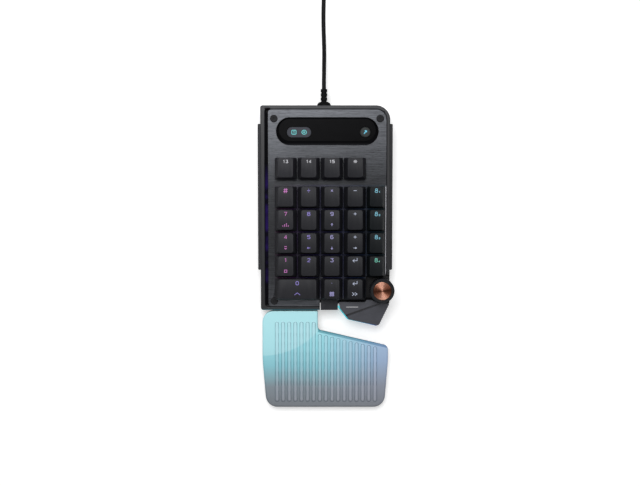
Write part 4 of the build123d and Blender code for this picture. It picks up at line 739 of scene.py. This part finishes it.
def pearl_and_glow_colour(tree):
    """A pale pad with the body's glow painted into its colour: pale blue-green behind, lilac at the right and
    grey in front, with a painted sheen as a paler round patch.
    """
    along = fade(tree, "Y", palm_low[1], palm_high[1])
    shifted = number_math(tree, "ADD", along, spread(tree, noise(tree, 18), -0.03, 0.03))
    # Painted light: the body's glow, strong behind and falling away to grey in front
    left = ramp(
        tree, shifted,
        [(0.0, tone(104, 109, 116)), (0.2, tone(120, 132, 141)), (0.42, tone(130, 194, 206)),
         (0.62, tone(150, 218, 228)), (1.0, tone(168, 232, 240))],
    )
    right = ramp(
        tree, shifted,
        [(0.0, tone(106, 110, 118)), (0.22, tone(128, 135, 150)), (0.48, tone(146, 170, 202)),
         (0.7, tone(160, 187, 218))],
    )
    across = ramp(tree, fade(tree, "X", palm_low[0], palm_high[0]), [(0.45, grey(0.0)), (0.95, grey(1.0))])
    plain = mix(tree, across, left, right)
    # Painted sheen: a paler round patch
    level = vector_math(tree, "MULTIPLY", own_place(tree), (1, 1, 0))
    reach = vector_math(tree, "DISTANCE", level, SHEEN_PATCH_MIDDLE * MM, gives="Value")
    inside = between(tree, reach, (SHEEN_PATCH_RADIUS + SHEEN_PATCH_SOFTNESS) * MM, (SHEEN_PATCH_RADIUS - SHEEN_PATCH_SOFTNESS) * MM)
    share = ramp(tree, inside, [(0.0, grey(0.0)), (1.0, grey(0.3))])
    return mix(tree, share, plain, tone(206, 244, 248))


def slant_glow_mask(tree):
    """1 on the band of painted light along the slanted rear edge."""
    square = Vector((SLANT_START.y - SLANT_END.y, SLANT_END.x - SLANT_START.x, 0)).normalized()
    start = square.dot(SLANT_START) - BAND_WIDTH
    distance = vector_math(tree, "DOT_PRODUCT", own_place(tree), square, gives="Value")
    band = between(tree, distance, (start - BAND_FADE) * MM, start * MM)
    beside = fade(tree, "X", (SLANT_START.x - BAND_OUTSIDE) * MM, (SLANT_START.x + BAND_INSIDE) * MM)
    return number_math(tree, "MULTIPLY", band, beside)


def palm_rubber():
    """Pearly soft-touch rubber, with a darker teal band of painted light at its slanted edge, painted shade
    as lines at the feet of its ribs, and rib tops made paler as a painted highlight.
    """
    material, tree, shader = new_material("palm_rubber", tone(150, 190, 198), 0.38)
    # Painted light: the glow from below on the sloped edge, as a darker teal band
    slant_glow = ramp(
        tree, fade(tree, "X", SLANT_START.x * MM, SLANT_END.x * MM),
        [(0.0, tone(84, 160, 172)), (0.6, tone(92, 150, 178)), (1.0, tone(104, 134, 178))],
    )
    banded = mix(tree, slant_glow_mask(tree), pearl_and_glow_colour(tree), slant_glow)
    from_foot = add_node(tree, "ShaderNodeAttribute", attribute_name="from_foot").outputs["Fac"]
    apart = between(tree, from_foot, FOOT_LINE, FOOT_LINE_END)
    # Painted shade: thin dark lines where the ribs rise from the pad
    crease_shaded = multiplied(tree, banded, ramp(tree, apart, [(0.0, tone(128, 122, 138)), (1.0, grey(1.0))]))
    on_rib = add_node(tree, "ShaderNodeAttribute", attribute_name="on_rib").outputs["Fac"]
    # Painted highlight: the tops of the ribs are paler
    raised = ramp(tree, on_rib, [(0.5, grey(0.0)), (0.95, grey(0.14))])
    feed(shader, "Base Color", mix(tree, raised, crease_shaded, tone(226, 228, 244)))
    fine = noise(tree, 3800)
    feed(shader, "Roughness", spread(tree, fine, 0.34, 0.44))
    bump(tree, shader, fine, 0.08, 0.03)
    feed(shader, "Coat Weight", 0.25)
    feed(shader, "Coat Roughness", 0.25)
    return material


# The plug's metal shell, in millimetres
PLUG_SHELL_LENGTH = 18.7
PLUG_SHELL_FADE = 0.05


def plug_finish():
    """Black moulded grip, and a bright metal shell on the end that goes into the socket."""
    shell_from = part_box("cable_plug")[0][0] + PLUG_SHELL_LENGTH * MM
    material, tree, shader = new_material("plug_plastic", grey(0.03), 0.45)
    shell = fade(tree, "X", shell_from + PLUG_SHELL_FADE * MM, shell_from - PLUG_SHELL_FADE * MM)
    grain = noise(tree, 2400, 3.0)
    grip = ramp(tree, grain, [(0.3, grey(0.022)), (0.7, grey(0.034))])
    steel = ramp(tree, noise(tree, (300, 2400, 2400), 3.0), [(0.3, grey(0.5)), (0.7, grey(0.66))])
    feed(shader, "Base Color", mix(tree, shell, grip, steel))
    feed(shader, "Metallic", shell)
    feed(shader, "Roughness", spread(tree, grain, 0.36, 0.5))
    bump(tree, shader, grain, 0.1, 0.04)
    return material


def dress(material, *names):
    """Give CAD nodes a material."""
    for name in names:
        slots = nodes[name].data.materials
        slots.clear()
        slots.append(material)


# Finishes of the CAD nodes
macro_keys = [name for name in keys if name.startswith("key_macro")]
plain_keys = [name for name in keys if name not in macro_keys]
dress(brushed_plate(), "top_plate")
dress(key_plastic("key_plastic", tone(42, 42, 47), tone(25, 26, 31), 0.2), *plain_keys)
dress(key_plastic("macro_plastic", tone(24, 27, 30), tone(22, 26, 29), 0.12), *macro_keys)
dress(frame_plastic(), "upper_frame")
dress(plastic("rail_plastic", tone(38, 38, 42), 0.5, gloss=0.25), "left_rail", "right_rail")
dress(plastic("case_plastic", tone(30, 30, 34), 0.55), "bottom_case")
dress(base_plastic(), "thumb_base")
dress(paddle_plastic(), "thumb_key")
dress(panel_plastic(), "status_panel")
dress(plastic("button_plastic", tone(44, 48, 48), 0.35, gloss=0.15, relief=0.03), "profile_button")
dress(plastic("window_plastic", tone(60, 62, 70), 0.35, gloss=0.1, relief=0.02), "indicator_window")
dress(plastic("knob_plastic", tone(14, 15, 19), 0.28, gloss=0.28, relief=0.06), "knob_body")
dress(copper_disc(), "knob_disc")
dress(light_bar(), "light_bar")
dress(light_strip(), "thumb_light_strip")
dress(plastic("screw_black", tone(26, 26, 29), 0.6, gloss=0.2), "plate_screws")
dress(metal("spring_steel", tone(180, 178, 172), 0.3), "switch_springs", "stabiliser_wire")
dress(metal("encoder_steel", tone(168, 168, 166), 0.35), "encoder_shaft")
dress(plastic("foot_rubber", tone(34, 34, 36), 0.85, grain=1800.0, relief=0.25), "case_feet", "palm_feet")
dress(board_laminate(), "circuit_board")
dress(plastic("switch_plastic", tone(30, 30, 33), 0.45), "switch_bases", "stabiliser_housings")
dress(plastic("switch_cover", tone(60, 60, 66), 0.3, relief=0.03), "switch_tops")
dress(plastic("encoder_plastic", tone(40, 42, 48), 0.4), "encoder_body", "encoder_plunger", "tact_switches")
dress(plastic("palm_base_plastic", tone(58, 60, 65), 0.5), "palm_base")
dress(plastic("relief_rubber", tone(10, 10, 12), 0.6, gloss=0.08, grain=2200.0), "strain_relief")
dress(plug_finish(), "cable_plug")
cable.data.materials.append(plastic("cable_rubber", tone(15, 15, 17), 0.55, gloss=0.12, grain=2600.0))

# Rounded edges, in millimetres, and the angles in degrees of an edge and of a flat place
KEY_EDGE = 0.35
EDGES = {
    "upper_frame": 0.25, "top_plate": 0.12, "status_panel": 0.15, "thumb_key": 0.3, "thumb_base": 0.25,
    "bottom_case": 0.4, "left_rail": 0.3, "right_rail": 0.3, "palm_base": 0.4, "profile_button": 0.15,
    "indicator_window": 0.12, "case_feet": 0.3, "palm_feet": 0.3, "cable_plug": 0.3, "knob_disc": 0.1,
    "encoder_body": 0.15, "thumb_light_strip": 0.15, "knob_body": 0.35,
}
EDGE_SEGMENTS = 2
EDGE_ANGLE = 32.0
FLAT_ANGLE = 0.6
WELD_DISTANCE = 0.002


def soften(name, width):
    """Round a CAD node's sharp edges a little."""
    piece = nodes[name]
    weld = piece.modifiers.new("weld", "WELD")
    weld.merge_threshold = WELD_DISTANCE * MM
    flat = piece.modifiers.new("flat", "DECIMATE")
    flat.decimate_type = "DISSOLVE"
    flat.angle_limit = math.radians(FLAT_ANGLE)
    edge = piece.modifiers.new("edge", "BEVEL")
    edge.width = width * MM
    edge.segments = EDGE_SEGMENTS
    edge.limit_method = "ANGLE"
    edge.angle_limit = math.radians(EDGE_ANGLE)
    edge.harden_normals = True


for key in keys:
    soften(key, KEY_EDGE)
for name, width in EDGES.items():
    soften(name, width)

# Palm pad: the CAD solid's form with soft edges to its ribs, in millimetres and degrees
PAD_GRAIN = 0.4
PAD_CROWN = 0.5
PAD_SMOOTHING = 2
PAD_SMOOTHING_SHARE = 0.5
FOOT_STEP = 0.25
FOOT_ANGLE = 20.0
FOOT_REACH = 2.0


def rib_feet():
    """Points along the lines where the ribs rise from the pad."""
    mesh = bmesh.new()
    mesh.from_mesh(nodes["palm_pad"].data)
    bmesh.ops.remove_doubles(mesh, verts=mesh.verts, dist=WELD_DISTANCE * MM)
    points = []
    for edge in mesh.edges:
        if len(edge.link_faces) != 2 or edge.calc_face_angle_signed() > -math.radians(FOOT_ANGLE):
            continue
        start, end = (vertex.co.copy() for vertex in edge.verts)
        count = max(round((end - start).length / (FOOT_STEP * MM)), 1)
        points += [start.lerp(end, step / count) for step in range(count + 1)]
    mesh.free()
    return points


def note_ribs(mesh):
    """Note for each point of the pad how far it is from a rib's foot, and whether it is up on a rib."""
    feet = [point for point in rib_feet() if point.z > (palm_low[2] + palm_high[2]) / 2]
    tree = KDTree(len(feet))
    for index, point in enumerate(feet):
        tree.insert(point, index)
    tree.balance()
    mean = sum(feet, Vector((0, 0, 0))) / len(feet)
    slope = sum((p.y - mean.y) * (p.z - mean.z) for p in feet) / sum((p.y - mean.y) ** 2 for p in feet)
    heights = [v.co.z - mean.z - slope * (v.co.y - mean.y) for v in mesh.vertices]
    tops = max(heights)
    from_foot = mesh.attributes.new("from_foot", "FLOAT", "POINT")
    on_rib = mesh.attributes.new("on_rib", "FLOAT", "POINT")
    for vertex, height, far, high in zip(mesh.vertices, heights, from_foot.data, on_rib.data):
        far.value = min(tree.find(vertex.co)[2] / MM, FOOT_REACH)
        high.value = max(height, 0) / tops


def crown(mesh):
    """Raise the pad slightly towards its middle."""
    low, high = Vector(palm_low), Vector(palm_high)
    middle = (low + high) / 2
    half = (high - low) / 2
    for vertex in mesh.vertices:
        share = Vector(((vertex.co.x - middle.x) / half.x, (vertex.co.y - middle.y) / half.y))
        raised = max(vertex.co.z - low.z, 0) / (high.z - low.z)
        vertex.co.z += PAD_CROWN * MM * raised * (1 - min(share.x**2, 1)) * (1 - min(share.y**2, 1))


def make_palm_pad():
    """The ribbed pad, remeshed fine and smoothed, with a slight crown."""
    pad = add_object("palm_pad_soft", nodes["palm_pad"].data.copy())
    remesh = pad.modifiers.new("remesh", "REMESH")
    remesh.mode = "VOXEL"
    remesh.voxel_size = PAD_GRAIN * MM
    smooth = pad.modifiers.new("smooth", "SMOOTH")
    smooth.factor = PAD_SMOOTHING_SHARE
    smooth.iterations = PAD_SMOOTHING
    graph = bpy.context.evaluated_depsgraph_get()
    mesh = bpy.data.meshes.new_from_object(pad.evaluated_get(graph))
    pad.modifiers.clear()
    pad.data = mesh
    note_ribs(mesh)
    crown(mesh)
    mesh.shade_smooth()
    mesh.materials.clear()
    mesh.materials.append(palm_rubber())
    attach(pad, "palm_rest")
    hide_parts("palm_pad")


make_palm_pad()

# Tie round the coil of the lead, in millimetres
TIE_ANGLE = math.radians(225)
TIE_WIDTH = 9.0
TIE_GAP = 0.25
TIE_THICKNESS = 0.9
TIE_UNDER = 0.1
TIE_CLEAR = 0.01
TIE_INNER_RADIUS = 2.0
TIE_OUTER_RADIUS = 2.6
TIE_CORNER_STEPS = 5


def tie_outline(left, right, bottom, top, radius):
    """A rounded upright rectangle, as points of distance from the coil's middle and height."""
    points = []
    corners = (
        (right - radius, bottom + radius, -90), (right - radius, top - radius, 0),
        (left + radius, top - radius, 90), (left + radius, bottom + radius, 180),
    )
    for across, height, start in corners:
        for step in range(TIE_CORNER_STEPS + 1):
            angle = math.radians(start + 90 * step / TIE_CORNER_STEPS)
            points.append((across + radius * math.cos(angle), height + radius * math.sin(angle)))
    return points


def make_tie():
    """A fabric strap round one side of the coil, closed on itself."""
    out = Vector((math.cos(TIE_ANGLE), math.sin(TIE_ANGLE), 0))
    side = Vector((-out.y, out.x, 0)) * TIE_WIDTH / 2
    near = COIL_INNER - CABLE_DIAMETER / 2 - TIE_GAP
    far = COIL_OUTER + CABLE_DIAMETER / 2 + TIE_GAP
    under = CABLE_REST - CABLE_DIAMETER / 2
    over = CABLE_REST + COIL_LAYER + CABLE_DIAMETER / 2 + TIE_GAP
    inside = tie_outline(near, far, under - TIE_CLEAR, over, TIE_INNER_RADIUS)
    outside = tie_outline(
        near - TIE_THICKNESS, far + TIE_THICKNESS, under - TIE_UNDER, over + TIE_THICKNESS, TIE_OUTER_RADIUS
    )
    mesh = bmesh.new()
    loops = []
    for outline, edge in ((inside, -1), (inside, 1), (outside, 1), (outside, -1)):
        places = [COIL_MIDDLE + out * d + side * edge + Vector((0, 0, height)) for d, height in outline]
        loops.append([mesh.verts.new(place * MM) for place in places])
    count = len(inside)
    for first, second in zip(loops, loops[1:] + loops[:1]):
        for step in range(count):
            after = (step + 1) % count
            mesh.faces.new((first[step], first[after], second[after], second[step]))
    fabric = plastic("tie_fabric", tone(34, 34, 37), 0.9, grain=1500.0, relief=0.5)
    tie = add_solid("coil_tie", mesh, fabric)
    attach(tie, "keypad")
    return tie


tie = make_tie()

# Signs are drawn on a grid of squares, and a line that ends where it starts is a loop
GRID_WIDTH = 4
GRID_HEIGHT = 6
GRID_STEP = 5.6
MIDDLE_X = GRID_WIDTH / 2
MIDDLE_Y = GRID_HEIGHT / 2
RING_STEPS = 14


def ring(x, y, radius):
    """A round loop."""
    angles = [2 * math.pi * step / RING_STEPS for step in range(RING_STEPS)]
    loop = [(x + radius * math.cos(angle), y + radius * math.sin(angle)) for angle in angles]
    return loop + loop[:1]


def rays(x, y, inner, outer, count):
    """Short lines that point away from a middle."""
    angles = [2 * math.pi * step / count for step in range(count)]
    return [[(x + r * math.cos(a), y + r * math.sin(a)) for r in (inner, outer)] for a in angles]


def turned(lines):
    """A sign turned a quarter to the left about its middle."""
    return [[(MIDDLE_X - (y - MIDDLE_Y), MIDDLE_Y + (x - MIDDLE_X)) for x, y in line] for line in lines]


SIX = [[(3.8, 5.3), (3, 6), (1, 6), (0, 5), (0, 1), (1, 0), (3, 0), (4, 1), (4, 2.4), (3, 3.4), (0, 3.4)]]
UP = [[(2, 0.8), (2, 5.2)], [(0.5, 3.6), (2, 5.2), (3.5, 3.6)]]
SIGNS = {
    "0": [[(1, 0), (3, 0), (4, 1), (4, 5), (3, 6), (1, 6), (0, 5), (0, 1), (1, 0)]],
    "1": [[(0.9, 4.9), (2.3, 6), (2.3, 0)]],
    "2": [[(0, 5), (1, 6), (3, 6), (4, 5), (4, 4.1), (0, 0), (4, 0)]],
    "3": [[(0, 6), (4, 6), (2, 3.6), (3, 3.6), (4, 2.6), (4, 1), (3, 0), (1, 0), (0, 1)]],
    "4": [[(3, 0), (3, 6), (0, 1.7), (4, 1.7)]],
    "5": [[(4, 6), (0.3, 6), (0.1, 3.5), (3, 3.5), (4, 2.6), (4, 1), (3, 0), (1, 0), (0, 0.9)]],
    "6": SIX,
    "7": [[(0, 6), (4, 6), (1.5, 0)]],
    "8": [
        [(1, 3.2), (0.2, 4.1), (0.2, 5.2), (1, 6), (3, 6), (3.8, 5.2), (3.8, 4.1), (3, 3.2), (1, 3.2)],
        [(1, 3.2), (0, 2.3), (0, 0.9), (1, 0), (3, 0), (4, 0.9), (4, 2.3), (3, 3.2)],
    ],
    "9": turned(turned(SIX)),
    "plus": [[(0.2, 3), (3.8, 3)], [(2, 1), (2, 5)]],
    "minus": [[(0.2, 3), (3.8, 3)]],
    "times": [[(0.5, 1.3), (3.5, 4.7)], [(0.5, 4.7), (3.5, 1.3)]],
    "divide": [[(0.2, 3), (3.8, 3)], [(1.6, 5), (2.4, 5)], [(1.6, 1), (2.4, 1)]],
    "hash": [[(1, 0.4), (1.5, 5.6)], [(2.6, 0.4), (3.1, 5.6)], [(0, 2), (3.9, 2)], [(0.2, 4), (4.1, 4)]],
    "return": [[(4, 5.4), (4, 2.4), (0, 2.4)], [(1.5, 4), (0, 2.4), (1.5, 0.8)]],
    "point": [[(1.6, 3), (2.4, 3)]],
    "up": UP,
    "left": turned(UP),
    "down": turned(turned(UP)),
    "right": turned(turned(turned(UP))),
    "caret": [[(-1.4, 1.8), (2, 4.6), (5.4, 1.8)]],
    "chevrons": [[(-1, 1), (1.2, 3), (-1, 5)], [(2, 1), (4.2, 3), (2, 5)]],
    "grid": [
        [(x, y), (x + 1.5, y), (x + 1.5, y + 1.7), (x, y + 1.7), (x, y)] for x in (0, 2.5) for y in (0.7, 3.6)
    ],
    "bars": [[(-1, 0.6), (-1, 2.4)], [(1, 0.6), (1, 3.8)], [(3, 0.6), (3, 5.2)], [(5, 0.6), (5, 2.4)]],
    "drop": [[(0.4, 5.2), (3.6, 5.2)], [(0.4, 3.2), (2, 1.2), (3.6, 3.2)]],
    "square": [[(0.4, 1), (3.6, 1), (3.6, 4.6), (0.4, 4.6), (0.4, 1)]],
    "sun": [ring(2, 3, 1.3), *rays(2, 3, 2.1, 3, 8)],
    "rings": [ring(2, 4.6, 1.7), ring(2, 1.5, 2.0)],
    "round": [ring(2, 3, 4.0)],
    "tile": [
        [(-1.9, 0), (-1.9, 6), (-0.9, 7.2), (4.9, 7.2), (5.9, 6), (5.9, 0), (4.9, -1.2), (-0.9, -1.2),
         (-1.9, 0)]
    ],
    "slant": [[(0.4, 0.8), (3.4, 4.8)], [(1.4, 5), (3.4, 4.8), (3.6, 2.8)]],
}

# Signs of each key, the upper before a slash and the lower after it
LEGENDS = {
    "key_function_1": "1 3", "key_function_2": "1 4", "key_function_3": "1 5", "key_function_4": "sun",
    "key_lock": "hash", "key_divide": "divide", "key_multiply": "times", "key_minus": "minus",
    "key_7": "7 / bars", "key_8": "8", "key_9": "9 / up", "key_plus_upper": "plus",
    "key_4": "4 / drop", "key_5": "5 / left", "key_6": "6 / down", "key_plus_lower": "plus / right",
    "key_1": "1 / square", "key_2": "2", "key_3": "3", "key_enter_upper": "return",
    "key_0": "0 / caret", "key_point": "point / grid", "key_enter_lower": "return / chevrons",
    **{name: "rings" for name in macro_keys},
}

# Sizes of the signs in millimetres, and the shares by which some differ
SIGN_WIDTH = 2.15
SIGN_HEIGHT = 2.8
STROKE = 0.42
MITRE_LIMIT = 0.6
UPPER_PLACE = 5.7
LOWER_PLACE = -3.3
SUBSCRIPT_PLACE = Vector((2.5, -1.0))
SUBSCRIPT_SHARE = 0.45
SUBSCRIPT_STROKE = 0.34
INK_PROUD = 0.04
INK_SUNK = 0.1
INK_SECTION = ((1, INK_PROUD), (-1, INK_PROUD), (-1, -INK_SUNK), (1, -INK_SUNK))
DROP_HEIGHT = 5.0
FUNCTION_SHARE = 0.78
SIGN_SHARES = {
    "hash": 1.6, "grid": 1.4, "bars": 1.35, "return": 1.6, "chevrons": 1.4, "sun": 1.2, "caret": 1.3,
    "drop": 1.15, "square": 1.15, "divide": 1.2, "plus": 1.2, "minus": 1.3,
}


def ground_of(node):
    """A function that drops a place across and up the slope on to a node's top surface."""
    mesh = nodes[node].data
    tree = BVHTree.FromPolygons([v.co for v in mesh.vertices], [p.vertices for p in mesh.polygons])
    above = deck_corners(node)[1].z + DROP_HEIGHT * MM

    def drop(place):
        hit = tree.ray_cast(from_deck(place.x, place.y, above), -NORMAL)[0]
        assert hit is not None, (node, place)
        return hit

    return drop


def draw_line(mesh, points, width, ground):
    """A raised stroke along points on a surface, closed where the last point is the first."""
    closed = points[0] == points[-1]
    if closed:
        points = points[:-1]
    count = len(points)
    sections = []
    for step, point in enumerate(points):
        headings = []
        if step or closed:
            headings.append((point - points[step - 1]).normalized())
        if step < count - 1 or closed:
            headings.append((points[(step + 1) % count] - point).normalized())
        sides = [Vector((-heading.y, heading.x)) for heading in headings]
        side = sum(sides, Vector((0, 0))).normalized()
        reach = width / 2 / max(side.dot(sides[0]), MITRE_LIMIT)
        places = [ground(point + side * reach * turn) + NORMAL * height * MM for turn, height in INK_SECTION]
        sections.append([mesh.verts.new(place) for place in places])
    pairs = list(zip(sections, sections[1:]))
    if closed:
        pairs.append((sections[-1], sections[0]))
    else:
        mesh.faces.new(sections[0])
        mesh.faces.new(sections[-1])
    for first, second in pairs:
        for corner in range(len(INK_SECTION)):
            after = (corner + 1) % len(INK_SECTION)
            mesh.faces.new((first[corner], second[corner], second[after], first[after]))


def draw_sign(mesh, sign, middle, ground, share=1.0, stroke=STROKE):
    """One sign round a middle given across and up the slope, in metres."""
    unit = Vector((SIGN_WIDTH / GRID_WIDTH, SIGN_HEIGHT / GRID_HEIGHT)) * share * MM
    for line in SIGNS[sign]:
        points = [middle + Vector(((x - MIDDLE_X) * unit.x, (y - MIDDLE_Y) * unit.y)) for x, y in line]
        draw_line(mesh, points, stroke * MM, ground)


def finish_sign(name, mesh, body, material):
    """Turn drawn strokes into a piece that rides on a body."""
    piece = add_solid(name, mesh, material)
    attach(piece, body)


# Lit inks: colour and brightness
INK_LIGHTS = {
    "white": ((216, 216, 222), 0.9), "pink": ((208, 112, 196), 1.0), "violet": ((142, 126, 212), 1.0),
    "lilac": ((164, 158, 214), 1.0), "ice": ((186, 194, 216), 1.0), "mist": ((118, 190, 210), 1.1),
    "green": ((104, 196, 172), 1.1), "cyan": ((84, 196, 224), 1.1), "aqua": ((86, 206, 206), 1.0),
}
INKS = {
    name: glow(f"ink_{name}", tone(*colour), strength) for name, (colour, strength) in INK_LIGHTS.items()
}
COLUMN_INKS = ["pink", "violet", "lilac", "ice", "mist"]
KEY_INKS = {"key_0": "violet", "key_macro_4": "green"}


def middle_of(node):
    """The middle of a node across and up the slope."""
    low, high = deck_corners(node)
    return ((low + high) / 2).to_2d()


FIRST_COLUMN = middle_of("key_7").x
COLUMN_STEP = middle_of("key_8").x - FIRST_COLUMN


def ink_of(key, middle):
    """The light colour of a key, by its column."""
    if key.startswith("key_function"):
        return INKS["white"]
    column = round((middle.x - FIRST_COLUMN) / COLUMN_STEP)
    return INKS[KEY_INKS.get(key, COLUMN_INKS[min(column, len(COLUMN_INKS) - 1)])]


def draw_legend(key, legend):
    """The signs of one key."""
    middle = middle_of(key)
    ground = ground_of(key)
    whole_share = FUNCTION_SHARE if key.startswith("key_function") else 1.0
    mesh = bmesh.new()
    for words, place in zip(legend.split("/"), (UPPER_PLACE, LOWER_PLACE)):
        signs = words.split()
        for step, sign in enumerate(signs):
            share = SIGN_SHARES.get(sign, 1.0) * whole_share
            shift = (step - (len(signs) - 1) / 2) * GRID_STEP * share * SIGN_WIDTH / GRID_WIDTH
            draw_sign(mesh, sign, middle + Vector((shift, place)) * MM, ground, share)
    if key in macro_keys:
        place = middle + (Vector((0, UPPER_PLACE)) + SUBSCRIPT_PLACE) * MM
        draw_sign(mesh, key[-1], place, ground, SUBSCRIPT_SHARE, SUBSCRIPT_STROKE)
    finish_sign(f"legend_{key.removeprefix('key_')}", mesh, key, ink_of(key, middle))


for key, legend in LEGENDS.items():
    draw_legend(key, legend)

# Signs of the window, each with its side, share and stroke, of the button, and the paddle's bar
WINDOW_SIGN_STEP = 4.27
WINDOW_SIGNS = [
    (-1, "tile", 0.85, 0.55), (-1, "1", 0.7, 0.5), (1, "round", 0.9, 0.55), (1, "times", 0.75, 0.5),
]
BUTTON_SIGN_SHARE = 1.3
BUTTON_SIGN_STROKE = 0.7
PADDLE_BAR = (Vector((17.6, -40.5)), Vector((27.5, -40.5)))
PADDLE_BAR_WIDTH = 0.5


def draw_window_signs():
    """Two lit signs in the window: a numbered square, and a ring with a cross."""
    middle = middle_of("indicator_window")
    ground = ground_of("indicator_window")
    mesh = bmesh.new()
    for side, sign, share, stroke in WINDOW_SIGNS:
        draw_sign(mesh, sign, middle + Vector((side * WINDOW_SIGN_STEP, 0)) * MM, ground, share, stroke)
    finish_sign("window_signs", mesh, "keypad", INKS["aqua"])


def draw_button_sign():
    """A slanting arrow on the profile button."""
    mesh = bmesh.new()
    ground = ground_of("profile_button")
    draw_sign(mesh, "slant", middle_of("profile_button"), ground, BUTTON_SIGN_SHARE, BUTTON_SIGN_STROKE)
    finish_sign("button_sign", mesh, "profile_button", INKS["cyan"])


def draw_paddle_bar():
    """A plain pale bar on the paddle."""
    mesh = bmesh.new()
    draw_line(mesh, [end * MM for end in PADDLE_BAR], PADDLE_BAR_WIDTH * MM, ground_of("thumb_key"))
    pale = glow("paddle_bar", tone(190, 190, 196), 0.25, grey(0.4))
    finish_sign("paddle_bar", mesh, "thumb_key", pale)


draw_window_signs()
draw_button_sign()
draw_paddle_bar()
